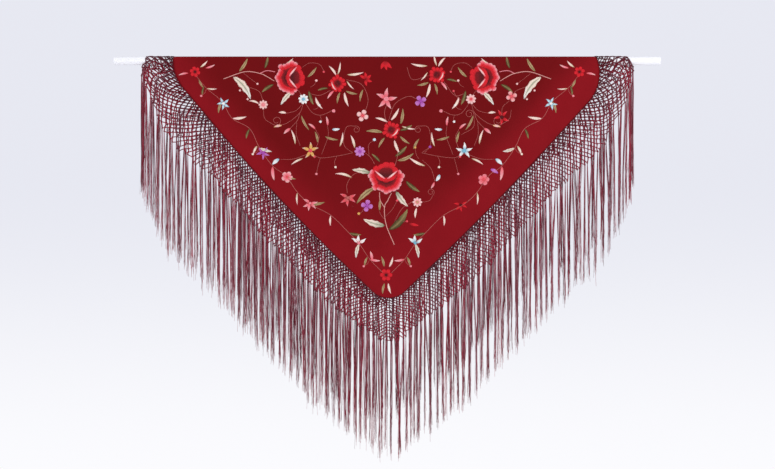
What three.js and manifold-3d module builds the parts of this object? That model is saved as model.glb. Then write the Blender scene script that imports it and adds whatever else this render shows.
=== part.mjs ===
// A square silk shawl with a knotted net and a long fringe on all four edges,
// folded corner to corner over a round rod, so that it hangs as two triangles.
// Millimetres. X runs along the rod, Z is up, and the shawl's front faces -Y.
// The origin is the middle of the rod, on its axis.
import * as THREE from 'three';
import Module from 'manifold-3d';

const wasm = await Module();
wasm.setup();

// Driving dimensions
const ROD_DIAMETER = 30;
const ROD_LENGTH = 2000;
const ROD_SIDES = 36;
const CLOTH_SIDE = 1200; // the square as it is cut, edge to edge
const CLOTH_WALL = 1.2;
const NET_WALL = 1.4;
const NET_DEPTH = 193; // on the sloping edges, where the knots hang straight
const NET_DEPTH_AT_TIP = 153; // under the lowest corner
const STRAND_LENGTH = 407; // below the net, so that the whole fringe is 600 long
const SEAM = 0.45; // the gap between pieces that touch on the real shawl

// How the square lies over the rod
const HALF_DIAGONAL = CLOTH_SIDE / Math.SQRT2;
const SLIP = 48; // the fold is this far behind the diagonal, so the front is larger
const TWIST = 22; // and the right corner hangs this much lower than that
const SIDE_REACH = 0.988; // cloth on the bias draws in across the rod
const FRONT_REACH = 1.04; // and grows longer down the front, under the fringe
const BACK_REACH = 1.01;
const FRONT_TIP_ACROSS = 4;
const BACK_TIP_ACROSS = -45;
const NET_REACH = 880; // the net is spread along the rod as far as this
const FRINGE_REACH = 898; // and its lower edge swings out a little further
const FAN_EDGE = 260; // the length of edge whose strands fan out from a side corner
const FAN_DROP = 200; // the length of edge over which the net gets its full depth

// A place on the unfolded cloth is across, along the rod, and down, from the fold:
// plus in front of the rod and minus behind it. Each corner has the radius of its
// round, and how far the edge from it to the next corner bows out.
const CORNERS = [
  { name: 'left', across: -SIDE_REACH * HALF_DIAGONAL, down: SLIP - TWIST, radius: 150, bow: 17 },
  { name: 'front', across: FRONT_TIP_ACROSS, down: SLIP + FRONT_REACH * HALF_DIAGONAL,
    radius: 85, bow: 11 },
  { name: 'right', across: SIDE_REACH * HALF_DIAGONAL, down: SLIP + TWIST, radius: 155, bow: 9 },
  { name: 'back', across: BACK_TIP_ACROSS, down: SLIP - BACK_REACH * HALF_DIAGONAL,
    radius: 100, bow: 9 },
];

// Soft flutes in the hanging cloth: where each runs down, half its width, how far it
// stands out (or in, with a minus), and how far below the rod it begins.
const FLUTES = {
  front: [
    { across: -590, half: 150, out: 3.2, from: 60 },
    { across: -330, half: 170, out: -3.8, from: 130 },
    { across: -95, half: 135, out: 4.6, from: 20 },
    { across: 120, half: 150, out: -3.6, from: 190 },
    { across: 350, half: 165, out: 4.8, from: 80 },
    { across: 610, half: 130, out: -3.0, from: 50 },
  ],
  back: [
    { across: -620, half: 140, out: -2.8, from: 40 },
    { across: -380, half: 160, out: 4.4, from: 110 },
    { across: -150, half: 150, out: -3.8, from: 170 },
    { across: 90, half: 140, out: 4.9, from: 60 },
    { across: 330, half: 165, out: -3.4, from: 120 },
    { across: 580, half: 140, out: 3.6, from: 40 },
  ],
};
const FLUTE_GROWTH = 280;

// Sampling
const CORNER_STEPS = 6;
const BOW_STEPS = 4;
const EDGE_STEP = 50;
const ROW_STEP = 56;
const ROW_MERGE = 6;
const FRONT_COLUMNS = 30;
const BACK_COLUMNS = 26;
const ARC_STEPS = 12;
const TIP_CHOP = 0.8; // the panel's last row is this far above its rounded tip

// The fringe's strands and the strips that carry them
const STRANDS_PER_EDGE = 62;
const STRAND_SIDES = 3;
const STRAND_RADIUS = { root: 1.7, tip: 1.0 };
const STRAND_STEPS = 2;
const STRAND_SWAY = 2.5;
const STRAND_RAGGED = 14;
const STRIP_DROP = 10;
const STRIP_WALL = 4;

const MID_RADIUS = ROD_DIAMETER / 2 + SEAM + CLOTH_WALL / 2;
const QUARTER_TURN = MID_RADIUS * Math.PI / 2;

const smooth = (t) => THREE.MathUtils.smoothstep(t, 0, 1);

/** How far the flutes lift the cloth off its flat fall, away from the rod. */
function flute(face, across, fallen) {
  return FLUTES[face].reduce((sum, { across: at, half, out, from }) => {
    const share = Math.min(Math.abs(across - at) / half, 1);
    return sum + out * Math.cos(share * Math.PI / 2) ** 2 * smooth((fallen - from) / FLUTE_GROWTH);
  }, 0);
}

/** The place in space of a place on the unfolded cloth, lifted off its mid surface. */
function drape(across, down, lift = 0) {
  const face = down >= 0 ? 'front' : 'back';
  const turn = Math.min(Math.abs(down) / MID_RADIUS, Math.PI / 2);
  const fallen = Math.max(Math.abs(down) - QUARTER_TURN, 0);
  const radius = MID_RADIUS + lift + flute(face, across, fallen);
  const y = -Math.sign(down) * Math.sin(turn) * radius;
  return new THREE.Vector3(across, y, Math.cos(turn) * radius - fallen);
}

/** The points of a corner's round, from the edge before it to the edge after it. */
function roundedCorner(corner, before, after) {
  const at = new THREE.Vector2(corner.across, corner.down);
  const back = new THREE.Vector2(before.across, before.down).sub(at).normalize();
  const on = new THREE.Vector2(after.across, after.down).sub(at).normalize();
  const half = Math.acos(back.dot(on)) / 2;
  const inward = back.clone().add(on).normalize();
  const centre = at.clone().addScaledVector(inward, corner.radius / Math.sin(half));
  const reach = corner.radius / Math.tan(half);
  const start = at.clone().addScaledVector(back, reach).sub(centre);
  const end = at.clone().addScaledVector(on, reach).sub(centre);
  const clockwise = start.cross(end) < 0;
  const arc = new THREE.ArcCurve(
    centre.x, centre.y, corner.radius, start.angle(), end.angle(), clockwise);
  return arc.getPoints(CORNER_STEPS);
}

const arcs = CORNERS.map((corner, i) => roundedCorner(
  corner, CORNERS[(i + CORNERS.length - 1) % CORNERS.length], CORNERS[(i + 1) % CORNERS.length]));

/** The points between one corner's round and the next, on an edge that bows out. */
function bowedEdge(i) {
  const [from, to] = [arcs[i].at(-1), arcs[(i + 1) % arcs.length][0]];
  const out = new THREE.Vector2(from.y - to.y, to.x - from.x).normalize();
  const bow = CORNERS[i].bow * Math.sign(out.dot(from));
  return Array.from({ length: BOW_STEPS - 1 }, (_, k) => {
    const q = (k + 1) / BOW_STEPS;
    return from.clone().lerp(to, q).addScaledVector(out, bow * Math.sin(Math.PI * q));
  });
}

const outline = arcs.flatMap((arc, i) => [...arc, ...bowedEdge(i)]);

/** The middle of a corner's round, where the left and right edges of a face meet. */
function tipOf(name) {
  return arcs[CORNERS.findIndex((corner) => corner.name === name)][CORNER_STEPS / 2];
}

/** Where the cloth's edge is at that height of the unfolded cloth, on the left or the right. */
function edgeAcross(down, side) {
  let found = null;
  outline.forEach((a, i) => {
    const b = outline[(i + 1) % outline.length];
    if ((a.y - down) * (b.y - down) <= 0 && a.y !== b.y) {
      const across = a.x + (b.x - a.x) * (down - a.y) / (b.y - a.y);
      if (found === null || side * (across - found) > 0) found = across;
    }
  });
  return found;
}

/** A closed wall through a grid of places on the unfolded cloth, as thick as is asked. */
function wall(grid, thickness) {
  const rows = grid.length;
  const columns = grid[0].length;
  const layer = rows * columns;
  const positions = [];
  for (const lift of [thickness / 2, -thickness / 2]) {
    grid.flat().forEach(({ x, y }) => positions.push(...drape(x, y, lift).toArray()));
  }
  const index = [];
  for (let r = 0; r < rows - 1; r++) {
    for (let c = 0; c < columns - 1; c++) {
      const a = r * columns + c;
      const [b, d, e] = [a + 1, a + columns, a + columns + 1];
      index.push(a, b, e, a, e, d);
      index.push(layer + a, layer + e, layer + b, layer + a, layer + d, layer + e);
    }
  }
  const rim = [];
  for (let c = 0; c < columns - 1; c++) rim.push(c);
  for (let r = 0; r < rows - 1; r++) rim.push(r * columns + columns - 1);
  for (let c = columns - 1; c > 0; c--) rim.push((rows - 1) * columns + c);
  for (let r = rows - 1; r > 0; r--) rim.push(r * columns);
  rim.forEach((a, i) => {
    const b = rim[(i + 1) % rim.length];
    index.push(a, layer + a, layer + b, a, layer + b, b);
  });
  return facingOut(positions, index);
}

/** A geometry of those points and triangles, turned so that its faces point out. */
function facingOut(positions, index) {
  const corner = (i) => new THREE.Vector3().fromArray(positions, 3 * index[i]);
  let volume = 0;
  for (let i = 0; i < index.length; i += 3) {
    volume += corner(i).dot(corner(i + 1).cross(corner(i + 2)));
  }
  if (volume < 0) index.reverse();
  const geometry = new THREE.BufferGeometry();
  geometry.setAttribute('position', new THREE.Float32BufferAttribute(positions, 3));
  geometry.setIndex(index);
  return geometry;
}

/** The heights of a hanging panel's rows, on all corners of the outline and evenly between. */
function panelRows(face) {
  const sign = face === 'front' ? 1 : -1;
  const top = QUARTER_TURN + SEAM / 2;
  const bottom = Math.abs(tipOf(face).y) - TIP_CHOP;
  const knees = outline.map((p) => sign * p.y).filter((d) => d > top && d < bottom);
  const heights = [top, bottom];
  const isFree = (d) => heights.every((h) => Math.abs(h - d) > ROW_MERGE);
  knees.sort((a, b) => b - a).forEach((d) => isFree(d) && heights.push(d));
  const count = Math.ceil((bottom - top) / ROW_STEP);
  for (let i = 1; i < count; i++) {
    const d = top + (bottom - top) * i / count;
    if (heights.every((h) => Math.abs(h - d) > ROW_STEP / 2)) heights.push(d);
  }
  return heights.sort((a, b) => a - b).map((d) => sign * d);
}

/** Rows of places from the left edge to the right edge at each height. */
function panelGrid(heights, columns) {
  return heights.map((down) => {
    const [left, right] = [edgeAcross(down, -1), edgeAcross(down, 1)];
    return Array.from({ length: columns + 1 },
      (_, c) => new THREE.Vector2(left + (right - left) * c / columns, down));
  });
}

/** Heights that follow the rod's round, from its front level to its back level. */
function arcHeights() {
  const reach = QUARTER_TURN - SEAM / 2;
  return Array.from({ length: ARC_STEPS + 1 }, (_, i) => reach * (1 - 2 * i / ARC_STEPS));
}

/** The cloth's edge on one side of one face, from the rod to the tip, split into short steps. */
function edgePath(face, side) {
  const sign = face === 'front' ? 1 : -1;
  const tip = tipOf(face);
  const start = sign * (QUARTER_TURN + SEAM / 2);
  const knees = outline.filter((p) =>
    side * (p.x - tip.x) > 1 && sign * p.y > sign * start + 1);
  knees.sort((a, b) => sign * (a.y - b.y));
  const corners = [new THREE.Vector2(edgeAcross(start, side), start), ...knees, tip.clone()];
  const path = [corners[0]];
  for (let i = 1; i < corners.length; i++) {
    const steps = Math.ceil(corners[i - 1].distanceTo(corners[i]) / EDGE_STEP);
    for (let k = 1; k <= steps; k++) {
      path.push(corners[i - 1].clone().lerp(corners[i], k / steps));
    }
  }
  path[path.length - 1].x += side * SEAM / 2;
  return path;
}

/** Points moved out from a path, away from the cloth, by the seam's gap. */
function seamOff(path, face, side) {
  const sign = face === 'front' ? 1 : -1;
  return path.map((p, i) => {
    const along = path[Math.min(i + 1, path.length - 1)].clone().sub(path[Math.max(i - 1, 0)]);
    const out = new THREE.Vector2(side * Math.abs(along.y), sign * Math.abs(along.x));
    if (i === 0) out.y = 0;
    if (i === path.length - 1) out.x = 0;
    return p.clone().addScaledVector(out.normalize(), SEAM);
  });
}

/** How deep the net hangs below a place on the edge that far from the side corner. */
function netDepth(across, along, face) {
  const fromTip = Math.abs(across - tipOf(face).x) / 300;
  const depth = NET_DEPTH_AT_TIP + (NET_DEPTH - NET_DEPTH_AT_TIP) * smooth(fromTip);
  const share = Math.min(along / FAN_DROP, 1);
  return depth * (0.33 + 0.67 * (1 - (1 - share) ** 2));
}

/** The net of one edge: for each step along it, places from the cloth down to the strands. */
function netGrid(face, side, across = 4) {
  const sign = face === 'front' ? 1 : -1;
  const edge = edgePath(face, side);
  const upper = seamOff(edge, face, side);
  const lengths = [0];
  edge.forEach((p, i) => i && lengths.push(lengths[i - 1] + p.distanceTo(edge[i - 1])));
  const fanEnd = lengths.findIndex((along) => along >= FAN_EDGE);
  const turnAt = 0.67; // the share of its depth at which a fanned strand turns down
  return upper.map((from, i) => {
    const share = Math.min(lengths[i] / lengths[fanEnd], 1);
    const reach = i < fanEnd
      ? THREE.MathUtils.lerp(side * NET_REACH, edge[fanEnd].x, share) : from.x;
    const fanned = (1 - share) ** 2;
    const depth = netDepth(from.x, lengths[i], face);
    return Array.from({ length: across + 1 }, (_, k) => {
      const q = k / across;
      const sideways = Math.min(q / turnAt, 1);
      const fall = THREE.MathUtils.lerp(q, Math.max((q - turnAt) / (1 - turnAt), 0), fanned);
      const swing = side * (FRINGE_REACH - NET_REACH) * fanned * fall;
      return new THREE.Vector2(
        THREE.MathUtils.lerp(from.x, reach, sideways) + swing, from.y + sign * depth * fall);
    });
  });
}

/** The net that lies over the rod beyond the cloth, at the left or the right end. */
function netFoldGrid(side) {
  return arcHeights().map((down) => [0, 1 / 3, 2 / 3, 1].map((q) => new THREE.Vector2(
    THREE.MathUtils.lerp(edgeAcross(down, side) + side * SEAM, side * NET_REACH, q), down)));
}

/** A solid of a geometry whose points are already shared. */
function solid(geometry) {
  return new wasm.Manifold(new wasm.Mesh({
    numProp: 3,
    vertProperties: new Float32Array(geometry.attributes.position.array),
    triVerts: new Uint32Array(geometry.index.array),
  }));
}

/** A closed strand of a few sides that narrows from its root to its tip. */
function strandGeometry(points) {
  const positions = [];
  const index = [];
  points.forEach((point, ring) => {
    const radius = THREE.MathUtils.lerp(
      STRAND_RADIUS.root, STRAND_RADIUS.tip, ring / (points.length - 1));
    for (let k = 0; k < STRAND_SIDES; k++) {
      const angle = 2 * Math.PI * k / STRAND_SIDES;
      positions.push(
        point.x + radius * Math.cos(angle), point.y + radius * Math.sin(angle), point.z);
      if (ring === 0) continue;
      const next = (k + 1) % STRAND_SIDES;
      const [a, b] = [(ring - 1) * STRAND_SIDES + k, (ring - 1) * STRAND_SIDES + next];
      index.push(a, b, b + STRAND_SIDES, a, b + STRAND_SIDES, a + STRAND_SIDES);
    }
  });
  const last = (points.length - 1) * STRAND_SIDES;
  for (let k = 1; k < STRAND_SIDES - 1; k++) {
    index.push(0, k + 1, k);
    index.push(last, last + k, last + k + 1);
  }
  return facingOut(positions, index);
}

/** The fringe of one edge: a narrow strip under the net, with its strands hanging from it. */
function fringeGeometry(face, side) {
  const sign = face === 'front' ? 1 : -1;
  const lower = netGrid(face, side).map((line) => line.at(-1));
  const strip = lower.map((p, i) => {
    const run = lower[Math.min(i + 1, lower.length - 1)].clone().sub(lower[Math.max(i - 1, 0)]);
    const gap = SEAM * run.length() / Math.abs(run.x);
    return [gap, STRIP_DROP].map((drop) => new THREE.Vector2(p.x, p.y + sign * drop));
  });
  let whole = solid(wall(strip, STRIP_WALL));
  const [outer, inner] = [lower[0].x, lower.at(-1).x];
  for (let k = 0; k < STRANDS_PER_EDGE; k++) {
    const across = THREE.MathUtils.lerp(outer, inner, (k + 0.5) / STRANDS_PER_EDGE);
    const i = lower.findIndex((p) => side * (p.x - across) <= 0);
    const [a, b] = [lower[i - 1], lower[i]];
    const root = a.clone().lerp(b, (across - a.x) / (b.x - a.x));
    const sway = STRAND_SWAY * Math.sin(2.4 * k);
    const length = STRAND_LENGTH + STRAND_RAGGED * Math.sin(1.7 * k + side);
    const points = Array.from({ length: STRAND_STEPS + 1 }, (_, step) => {
      const q = step / STRAND_STEPS;
      return drape(across + sway * q, root.y + sign * (0.7 * STRIP_DROP + length * q));
    });
    whole = whole.add(solid(strandGeometry(points)));
  }
  const mesh = whole.getMesh();
  const geometry = new THREE.BufferGeometry();
  geometry.setAttribute('position', new THREE.BufferAttribute(mesh.vertProperties, 3));
  geometry.setIndex(new THREE.BufferAttribute(mesh.triVerts, 1));
  return geometry;
}

const MATERIALS = {
  rod: new THREE.MeshStandardMaterial({ color: 0xf2f2f4, roughness: 0.45, metalness: 0 }),
  cloth: new THREE.MeshStandardMaterial({ color: 0x8f101c, roughness: 0.75, metalness: 0 }),
  net: new THREE.MeshStandardMaterial({ color: 0x3a1218, roughness: 0.8, metalness: 0 }),
  fringe: new THREE.MeshStandardMaterial({ color: 0x5a1a24, roughness: 0.7, metalness: 0 }),
};

const shawl = new THREE.Group();

function addPiece(name, geometry, material) {
  const mesh = new THREE.Mesh(geometry, material);
  mesh.name = name;
  shawl.add(mesh);
  return mesh;
}

const rod = addPiece('rod',
  new THREE.CylinderGeometry(ROD_DIAMETER / 2, ROD_DIAMETER / 2, ROD_LENGTH, ROD_SIDES),
  MATERIALS.rod);
rod.rotation.z = Math.PI / 2;

const panels = { front: FRONT_COLUMNS, back: BACK_COLUMNS };
for (const [face, columns] of Object.entries(panels)) {
  addPiece(`cloth_${face}`, wall(panelGrid(panelRows(face), columns), CLOTH_WALL), MATERIALS.cloth);
}
addPiece('cloth_fold', wall(panelGrid(arcHeights(), 4), CLOTH_WALL), MATERIALS.cloth);

for (const [sideName, side] of [['left', -1], ['right', 1]]) {
  addPiece(`net_fold_${sideName}`, wall(netFoldGrid(side), NET_WALL / 2), MATERIALS.net);
  for (const face of ['front', 'back']) {
    addPiece(`net_${face}_${sideName}`, wall(netGrid(face, side), NET_WALL), MATERIALS.net);
    addPiece(`fringe_${face}_${sideName}`, fringeGeometry(face, side), MATERIALS.fringe);
  }
}

export default shawl;
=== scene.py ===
"""Looks of a fringed, embroidered silk shawl, folded corner to corner over a round rod.

The cloth is one thin sheet that runs up the front, over the rod and down the back. A knotted
net hangs from its hem, and the net's strings end as a long fringe. Sizes on the cloth are in
millimetres: "across" runs along the rod, and "down" is the way from the fold, plus in front
of the rod and minus behind it. Meshes are in metres.
"""

from __future__ import annotations

import logging
import math
from dataclasses import dataclass, field
from enum import Enum
from typing import NamedTuple, Sequence

import bpy
import numpy as np
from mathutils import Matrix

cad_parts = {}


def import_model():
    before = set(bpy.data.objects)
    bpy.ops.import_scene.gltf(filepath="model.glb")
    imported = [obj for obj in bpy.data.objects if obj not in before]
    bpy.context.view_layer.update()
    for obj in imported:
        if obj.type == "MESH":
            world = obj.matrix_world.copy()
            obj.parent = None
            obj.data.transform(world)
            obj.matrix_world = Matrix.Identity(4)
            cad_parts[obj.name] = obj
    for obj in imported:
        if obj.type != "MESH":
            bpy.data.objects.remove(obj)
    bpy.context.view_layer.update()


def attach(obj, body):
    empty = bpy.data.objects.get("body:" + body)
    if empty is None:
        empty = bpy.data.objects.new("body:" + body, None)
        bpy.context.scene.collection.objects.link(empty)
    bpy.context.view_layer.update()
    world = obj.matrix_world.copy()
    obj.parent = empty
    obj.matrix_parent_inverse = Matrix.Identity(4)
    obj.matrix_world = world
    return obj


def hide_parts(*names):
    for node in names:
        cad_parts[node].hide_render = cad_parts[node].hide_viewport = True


LOG = logging.getLogger("shawl")
BODY = "root"
METRES = 0.001
Array = np.ndarray
Point = tuple[float, float]
Triple = tuple[float, float, float]
Colour = Triple


class Face(Enum):
    """A hanging half of the shawl."""

    FRONT = 1
    BACK = -1


class Side(Enum):
    """An end of the rod, as the viewer sees it."""

    LEFT = -1
    RIGHT = 1


def smooth(t: Array) -> Array:
    """Eases from 0 to 1 with no slope at either end."""
    t = np.clip(t, 0.0, 1.0)
    return t * t * (3.0 - 2.0 * t)


def lerp(a: Array, b: Array, t: Array) -> Array:
    """The value that share of the way from one to the other."""
    return a + (b - a) * t


def unit(vectors: Array) -> Array:
    """Those vectors, made one long."""
    return vectors / (np.linalg.norm(vectors, axis=-1, keepdims=True) + 1e-12)


def run_of(points: Array) -> Array:
    """How far each point is along its line of points, from the line's start."""
    steps = np.cumsum(np.linalg.norm(np.diff(points, axis=-2), axis=-1), axis=-1)
    return np.concatenate([np.zeros((*steps.shape[:-1], 1)), steps], axis=-1)


def polar(middle: Point, far: float, turn: float) -> Point:
    """The place that far from a middle, at that angle in degrees."""
    angle = math.radians(turn)
    return middle[0] + far * math.cos(angle), middle[1] + far * math.sin(angle)


def waves(x: Array, seed: int, periods: Sequence[float]) -> Array:
    """A smooth, uneven wave of height about 1.

    Args:
        x: Where it is read, in millimetres.
        seed: Which of many such waves it is.
        periods: The lengths of the waves that add up to it.

    Returns:
        The wave's value at each place.
    """
    shifts = np.random.default_rng(seed).uniform(0.0, 2.0 * math.pi, len(periods))
    total = sum(np.sin(2.0 * math.pi * x / p + s) for p, s in zip(periods, shifts))
    return total / math.sqrt(len(periods))


# ---- the hanging square


class Corner(NamedTuple):
    """A corner of the square as it hangs, with the bow of the edge after it."""

    across: float
    down: float
    radius: float
    bow: float


class Flute(NamedTuple):
    """A soft fold that runs down a hanging half."""

    across: float
    half: float
    out: float
    start: float


FLUTES = {
    Face.FRONT: (
        Flute(-590, 150, 3.2, 60), Flute(-330, 170, -3.8, 130), Flute(-95, 135, 4.6, 20),
        Flute(120, 150, -3.6, 190), Flute(350, 165, 4.8, 80), Flute(610, 130, -3.0, 50),
    ),
    Face.BACK: (
        Flute(-620, 140, -2.8, 40), Flute(-380, 160, 4.4, 110), Flute(-150, 150, -3.8, 170),
        Flute(90, 140, 4.9, 60), Flute(330, 165, -3.4, 120), Flute(580, 140, 3.6, 40),
    ),
}


@dataclass
class Hang:
    """How the square lies over the rod, and where each place on it is in space."""

    square: float = 1200.0
    rod_radius: float = 15.0
    clearance: float = 0.45
    wall: float = 1.2
    slip: float = 48.0
    twist: float = 22.0
    flute_growth: float = 280.0
    crease_height: float = 0.9
    cross_crease_height: float = 0.5
    crease_start: float = 90.0
    ripple_height: float = 1.3
    ripple_width: float = 70.0
    arc_steps: int = 28
    bow_steps: int = 22

    def __post_init__(self) -> None:
        """Works out the outline as a left and a right chain, from the back tip to the front."""
        self.mid_radius = self.rod_radius + self.clearance + self.wall / 2.0
        self.quarter = self.mid_radius * math.pi / 2.0
        half = self.square / math.sqrt(2.0)
        self.corners = (
            Corner(-0.988 * half, self.slip - self.twist, 150.0, 17.0),
            Corner(4.0, self.slip + 1.04 * half, 85.0, 11.0),
            Corner(0.988 * half, self.slip + self.twist, 155.0, 9.0),
            Corner(-45.0, self.slip - 1.01 * half, 100.0, 9.0),
        )
        loop = self._outline()
        high = int(np.argmin(loop[:, 1]))
        loop = np.roll(loop, -high, axis=0)
        low = int(np.argmax(loop[:, 1]))
        right = np.concatenate([loop[low:], loop[:1]])[::-1]
        self.chains = {Side.LEFT: loop[: low + 1], Side.RIGHT: right}

    def _arc(self, i: int) -> Array:
        """The points of one corner's round."""
        corner, after = self.corners[i], self.corners[(i + 1) % len(self.corners)]
        at = np.array(corner[:2])
        back, on = unit(np.array(self.corners[i - 1][:2]) - at), unit(np.array(after[:2]) - at)
        half = math.acos(float(back @ on)) / 2.0
        centre = at + unit(back + on) * corner.radius / math.sin(half)
        reach = corner.radius / math.tan(half)
        start, end = at + back * reach - centre, at + on * reach - centre
        first = math.atan2(start[1], start[0])
        turn = (math.atan2(end[1], end[0]) - first + math.pi) % (2.0 * math.pi) - math.pi
        angles = first + turn * np.linspace(0.0, 1.0, self.arc_steps + 1)
        return centre + corner.radius * np.stack([np.cos(angles), np.sin(angles)], -1)

    def _outline(self) -> Array:
        """The square's edge as one closed loop of points."""
        arcs = [self._arc(i) for i in range(len(self.corners))]
        loop = []
        for corner, arc, following in zip(self.corners, arcs, arcs[1:] + arcs[:1]):
            start, end = arc[-1], following[0]
            out = unit(np.array([start[1] - end[1], end[0] - start[0]]))
            out = out * math.copysign(1.0, float(out @ start))
            q = np.arange(1, self.bow_steps)[:, None] / self.bow_steps
            loop += [arc, lerp(start, end, q) + out * corner.bow * np.sin(math.pi * q)]
        return np.concatenate(loop)

    def tip(self, face: Face) -> Array:
        """The lowest place of a hanging half."""
        return self.chains[Side.LEFT][-1 if face is Face.FRONT else 0]

    def edge(self, down: Array, side: Side) -> Array:
        """Where the hem is at that height of the cloth."""
        chain = self.chains[side]
        return np.interp(down, chain[:, 1], chain[:, 0])

    def outward(self, down: Array) -> Array:
        """The way out of the cloth, away from the rod, at that height of the cloth."""
        turn = np.minimum(np.abs(down) / self.mid_radius, math.pi / 2.0)
        return np.stack([np.zeros_like(turn), -np.sign(down) * np.sin(turn), np.cos(turn)], -1)

    def swell(self, across: Array, down: Array) -> Array:
        """How far folds and creases lift the cloth off its flat fall."""
        fallen = np.maximum(np.abs(down) - self.quarter, 0.0)
        total = np.zeros(np.broadcast(across, down).shape)
        for face, flutes in FLUTES.items():
            here = (down >= 0) if face is Face.FRONT else (down < 0)
            for f in flutes:
                share = np.minimum(np.abs(across - f.across) / f.half, 1.0)
                lift = f.out * np.cos(share * math.pi / 2.0) ** 2
                total += here * lift * smooth((fallen - f.start) / self.flute_growth)
        creases = self.crease_height * waves(across + 0.35 * fallen, 5, (143.0, 97.0, 61.0))
        creases += self.cross_crease_height * waves(across - 0.8 * fallen, 6, (171.0, 88.0))
        left, right = (self.edge(down, side) for side in Side)
        inside = np.minimum(across - left, right - across)
        ripple = self.ripple_height * waves(fallen + 0.4 * across, 9, (74.0, 49.0))
        ripple = ripple * (1.0 - smooth(inside / self.ripple_width))
        return total + smooth(fallen / self.crease_start) * (creases + ripple)

    def place(self, across: Array, down: Array, lift: Array = 0.0) -> Array:
        """The point in space of a place on the cloth.

        Args:
            across: Way along the rod, in millimetres.
            down: Way from the fold, plus in front and minus behind, in millimetres.
            lift: Height over the cloth's middle, in millimetres.

        Returns:
            Points in metres.
        """
        across, down, lift = np.broadcast_arrays(across, down, lift)
        fallen = np.maximum(np.abs(down) - self.quarter, 0.0)
        out = self.outward(down) * (self.mid_radius + lift + self.swell(across, down))[..., None]
        return (out + np.stack([across, 0.0 * fallen, -fallen], -1)) * METRES


# ---- meshes


@dataclass
class MeshParts:
    """Points and faces that are gathered and then made into one piece."""

    points: list[Array] = field(default_factory=list)
    faces: list[Array] = field(default_factory=list)
    tints: list[Array] = field(default_factory=list)
    places: list[Array] = field(default_factory=list)
    count: int = 0

    def add(self, points: Array, tint: Array, place: Array, *faces: Array) -> None:
        """Adds one closed shape.

        Args:
            points: Its corners, in metres.
            tint: One colour, or one for each corner.
            place: The corners' places in the pattern, in metres.
            faces: Rows of corner numbers, each array with faces of one size.
        """
        shape = points.shape[:-1]
        self.points.append(points.reshape(-1, 3))
        self.tints.append(np.broadcast_to(tint, (*shape, 3)).reshape(-1, 3))
        self.places.append(np.broadcast_to(place, (*shape, 2)).reshape(-1, 2))
        self.faces += [f.reshape(-1, f.shape[-1]) + self.count for f in faces]
        self.count += math.prod(shape)

    def build(self, name: str, finish: bpy.types.Material) -> bpy.types.Object:
        """Makes the piece.

        Args:
            name: The piece's name.
            finish: Its material.

        Returns:
            The new object, at the origin.
        """
        corners = np.concatenate([f.ravel() for f in self.faces]).astype(np.int32)
        sizes = np.concatenate([np.full(len(f), f.shape[1]) for f in self.faces])
        starts = np.concatenate([[0], np.cumsum(sizes)[:-1]]).astype(np.int32)
        mesh = bpy.data.meshes.new(name)
        mesh.vertices.add(self.count)
        mesh.vertices.foreach_set("co", np.concatenate(self.points).astype(np.float32).ravel())
        mesh.loops.add(len(corners))
        mesh.loops.foreach_set("vertex_index", corners)
        mesh.polygons.add(len(starts))
        mesh.polygons.foreach_set("loop_start", starts)
        mesh.update(calc_edges=True)
        mesh.polygons.foreach_set("use_smooth", np.ones(len(starts), dtype=bool))
        rgba = np.insert(np.concatenate(self.tints), 3, 1.0, axis=1).astype(np.float32)
        # Each corner's colour: a thread's own tint, a tint with painted shade on the net, or the
        # painted backlight mask on the cloth.
        layer = mesh.color_attributes.new("thread", "FLOAT_COLOR", "POINT")
        layer.data.foreach_set("color", rgba.ravel())
        places = np.concatenate(self.places).astype(np.float32)[corners]
        mesh.uv_layers.new(name="cloth").data.foreach_set("uv", places.ravel())
        mesh.materials.append(finish)
        piece = bpy.data.objects.new(name, mesh)
        bpy.context.scene.collection.objects.link(piece)
        return piece


def ring_of(sides: int, across: Array, up: Array) -> tuple[Array, Array]:
    """The angles of a cord's corners, and the way out to each of them."""
    angles = 2.0 * math.pi * np.arange(sides) / sides
    cos, sin = np.cos(angles)[:, None], np.sin(angles)[:, None]
    return angles, cos * across[..., None, :] + sin * up[..., None, :]


def add_cords(
    parts: MeshParts, points: Array, normals: Array, radii: Array, sides: int, tints: Array
) -> None:
    """Adds many closed round cords at once.

    Args:
        parts: What they are added to.
        points: The cords' middle lines, as cords by steps by 3, in metres.
        normals: A way out of each cord at each step, of the same shape.
        radii: Each cord's radius at each step, in metres.
        sides: How many faces go round a cord.
        tints: Each cord's colour at each step.
    """
    cords, steps = points.shape[:2]
    along = unit(np.gradient(points, axis=1))
    across = unit(np.cross(along, normals))
    angles, ring = ring_of(sides, across, np.cross(across, along))
    place = np.stack(np.broadcast_arrays(angles * radii.mean(), run_of(points)[..., None]), -1)
    grid = np.arange(cords * steps * sides).reshape(cords, steps, sides)
    beside = np.roll(grid, -1, axis=2)
    walls = np.stack([grid[:, :-1], grid[:, 1:], beside[:, 1:], beside[:, :-1]], -1)
    verts = points[:, :, None] + radii[..., None, None] * ring
    parts.add(verts, tints[:, :, None], place, walls, grid[:, 0], grid[:, -1, ::-1])


# ---- finishes


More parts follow.
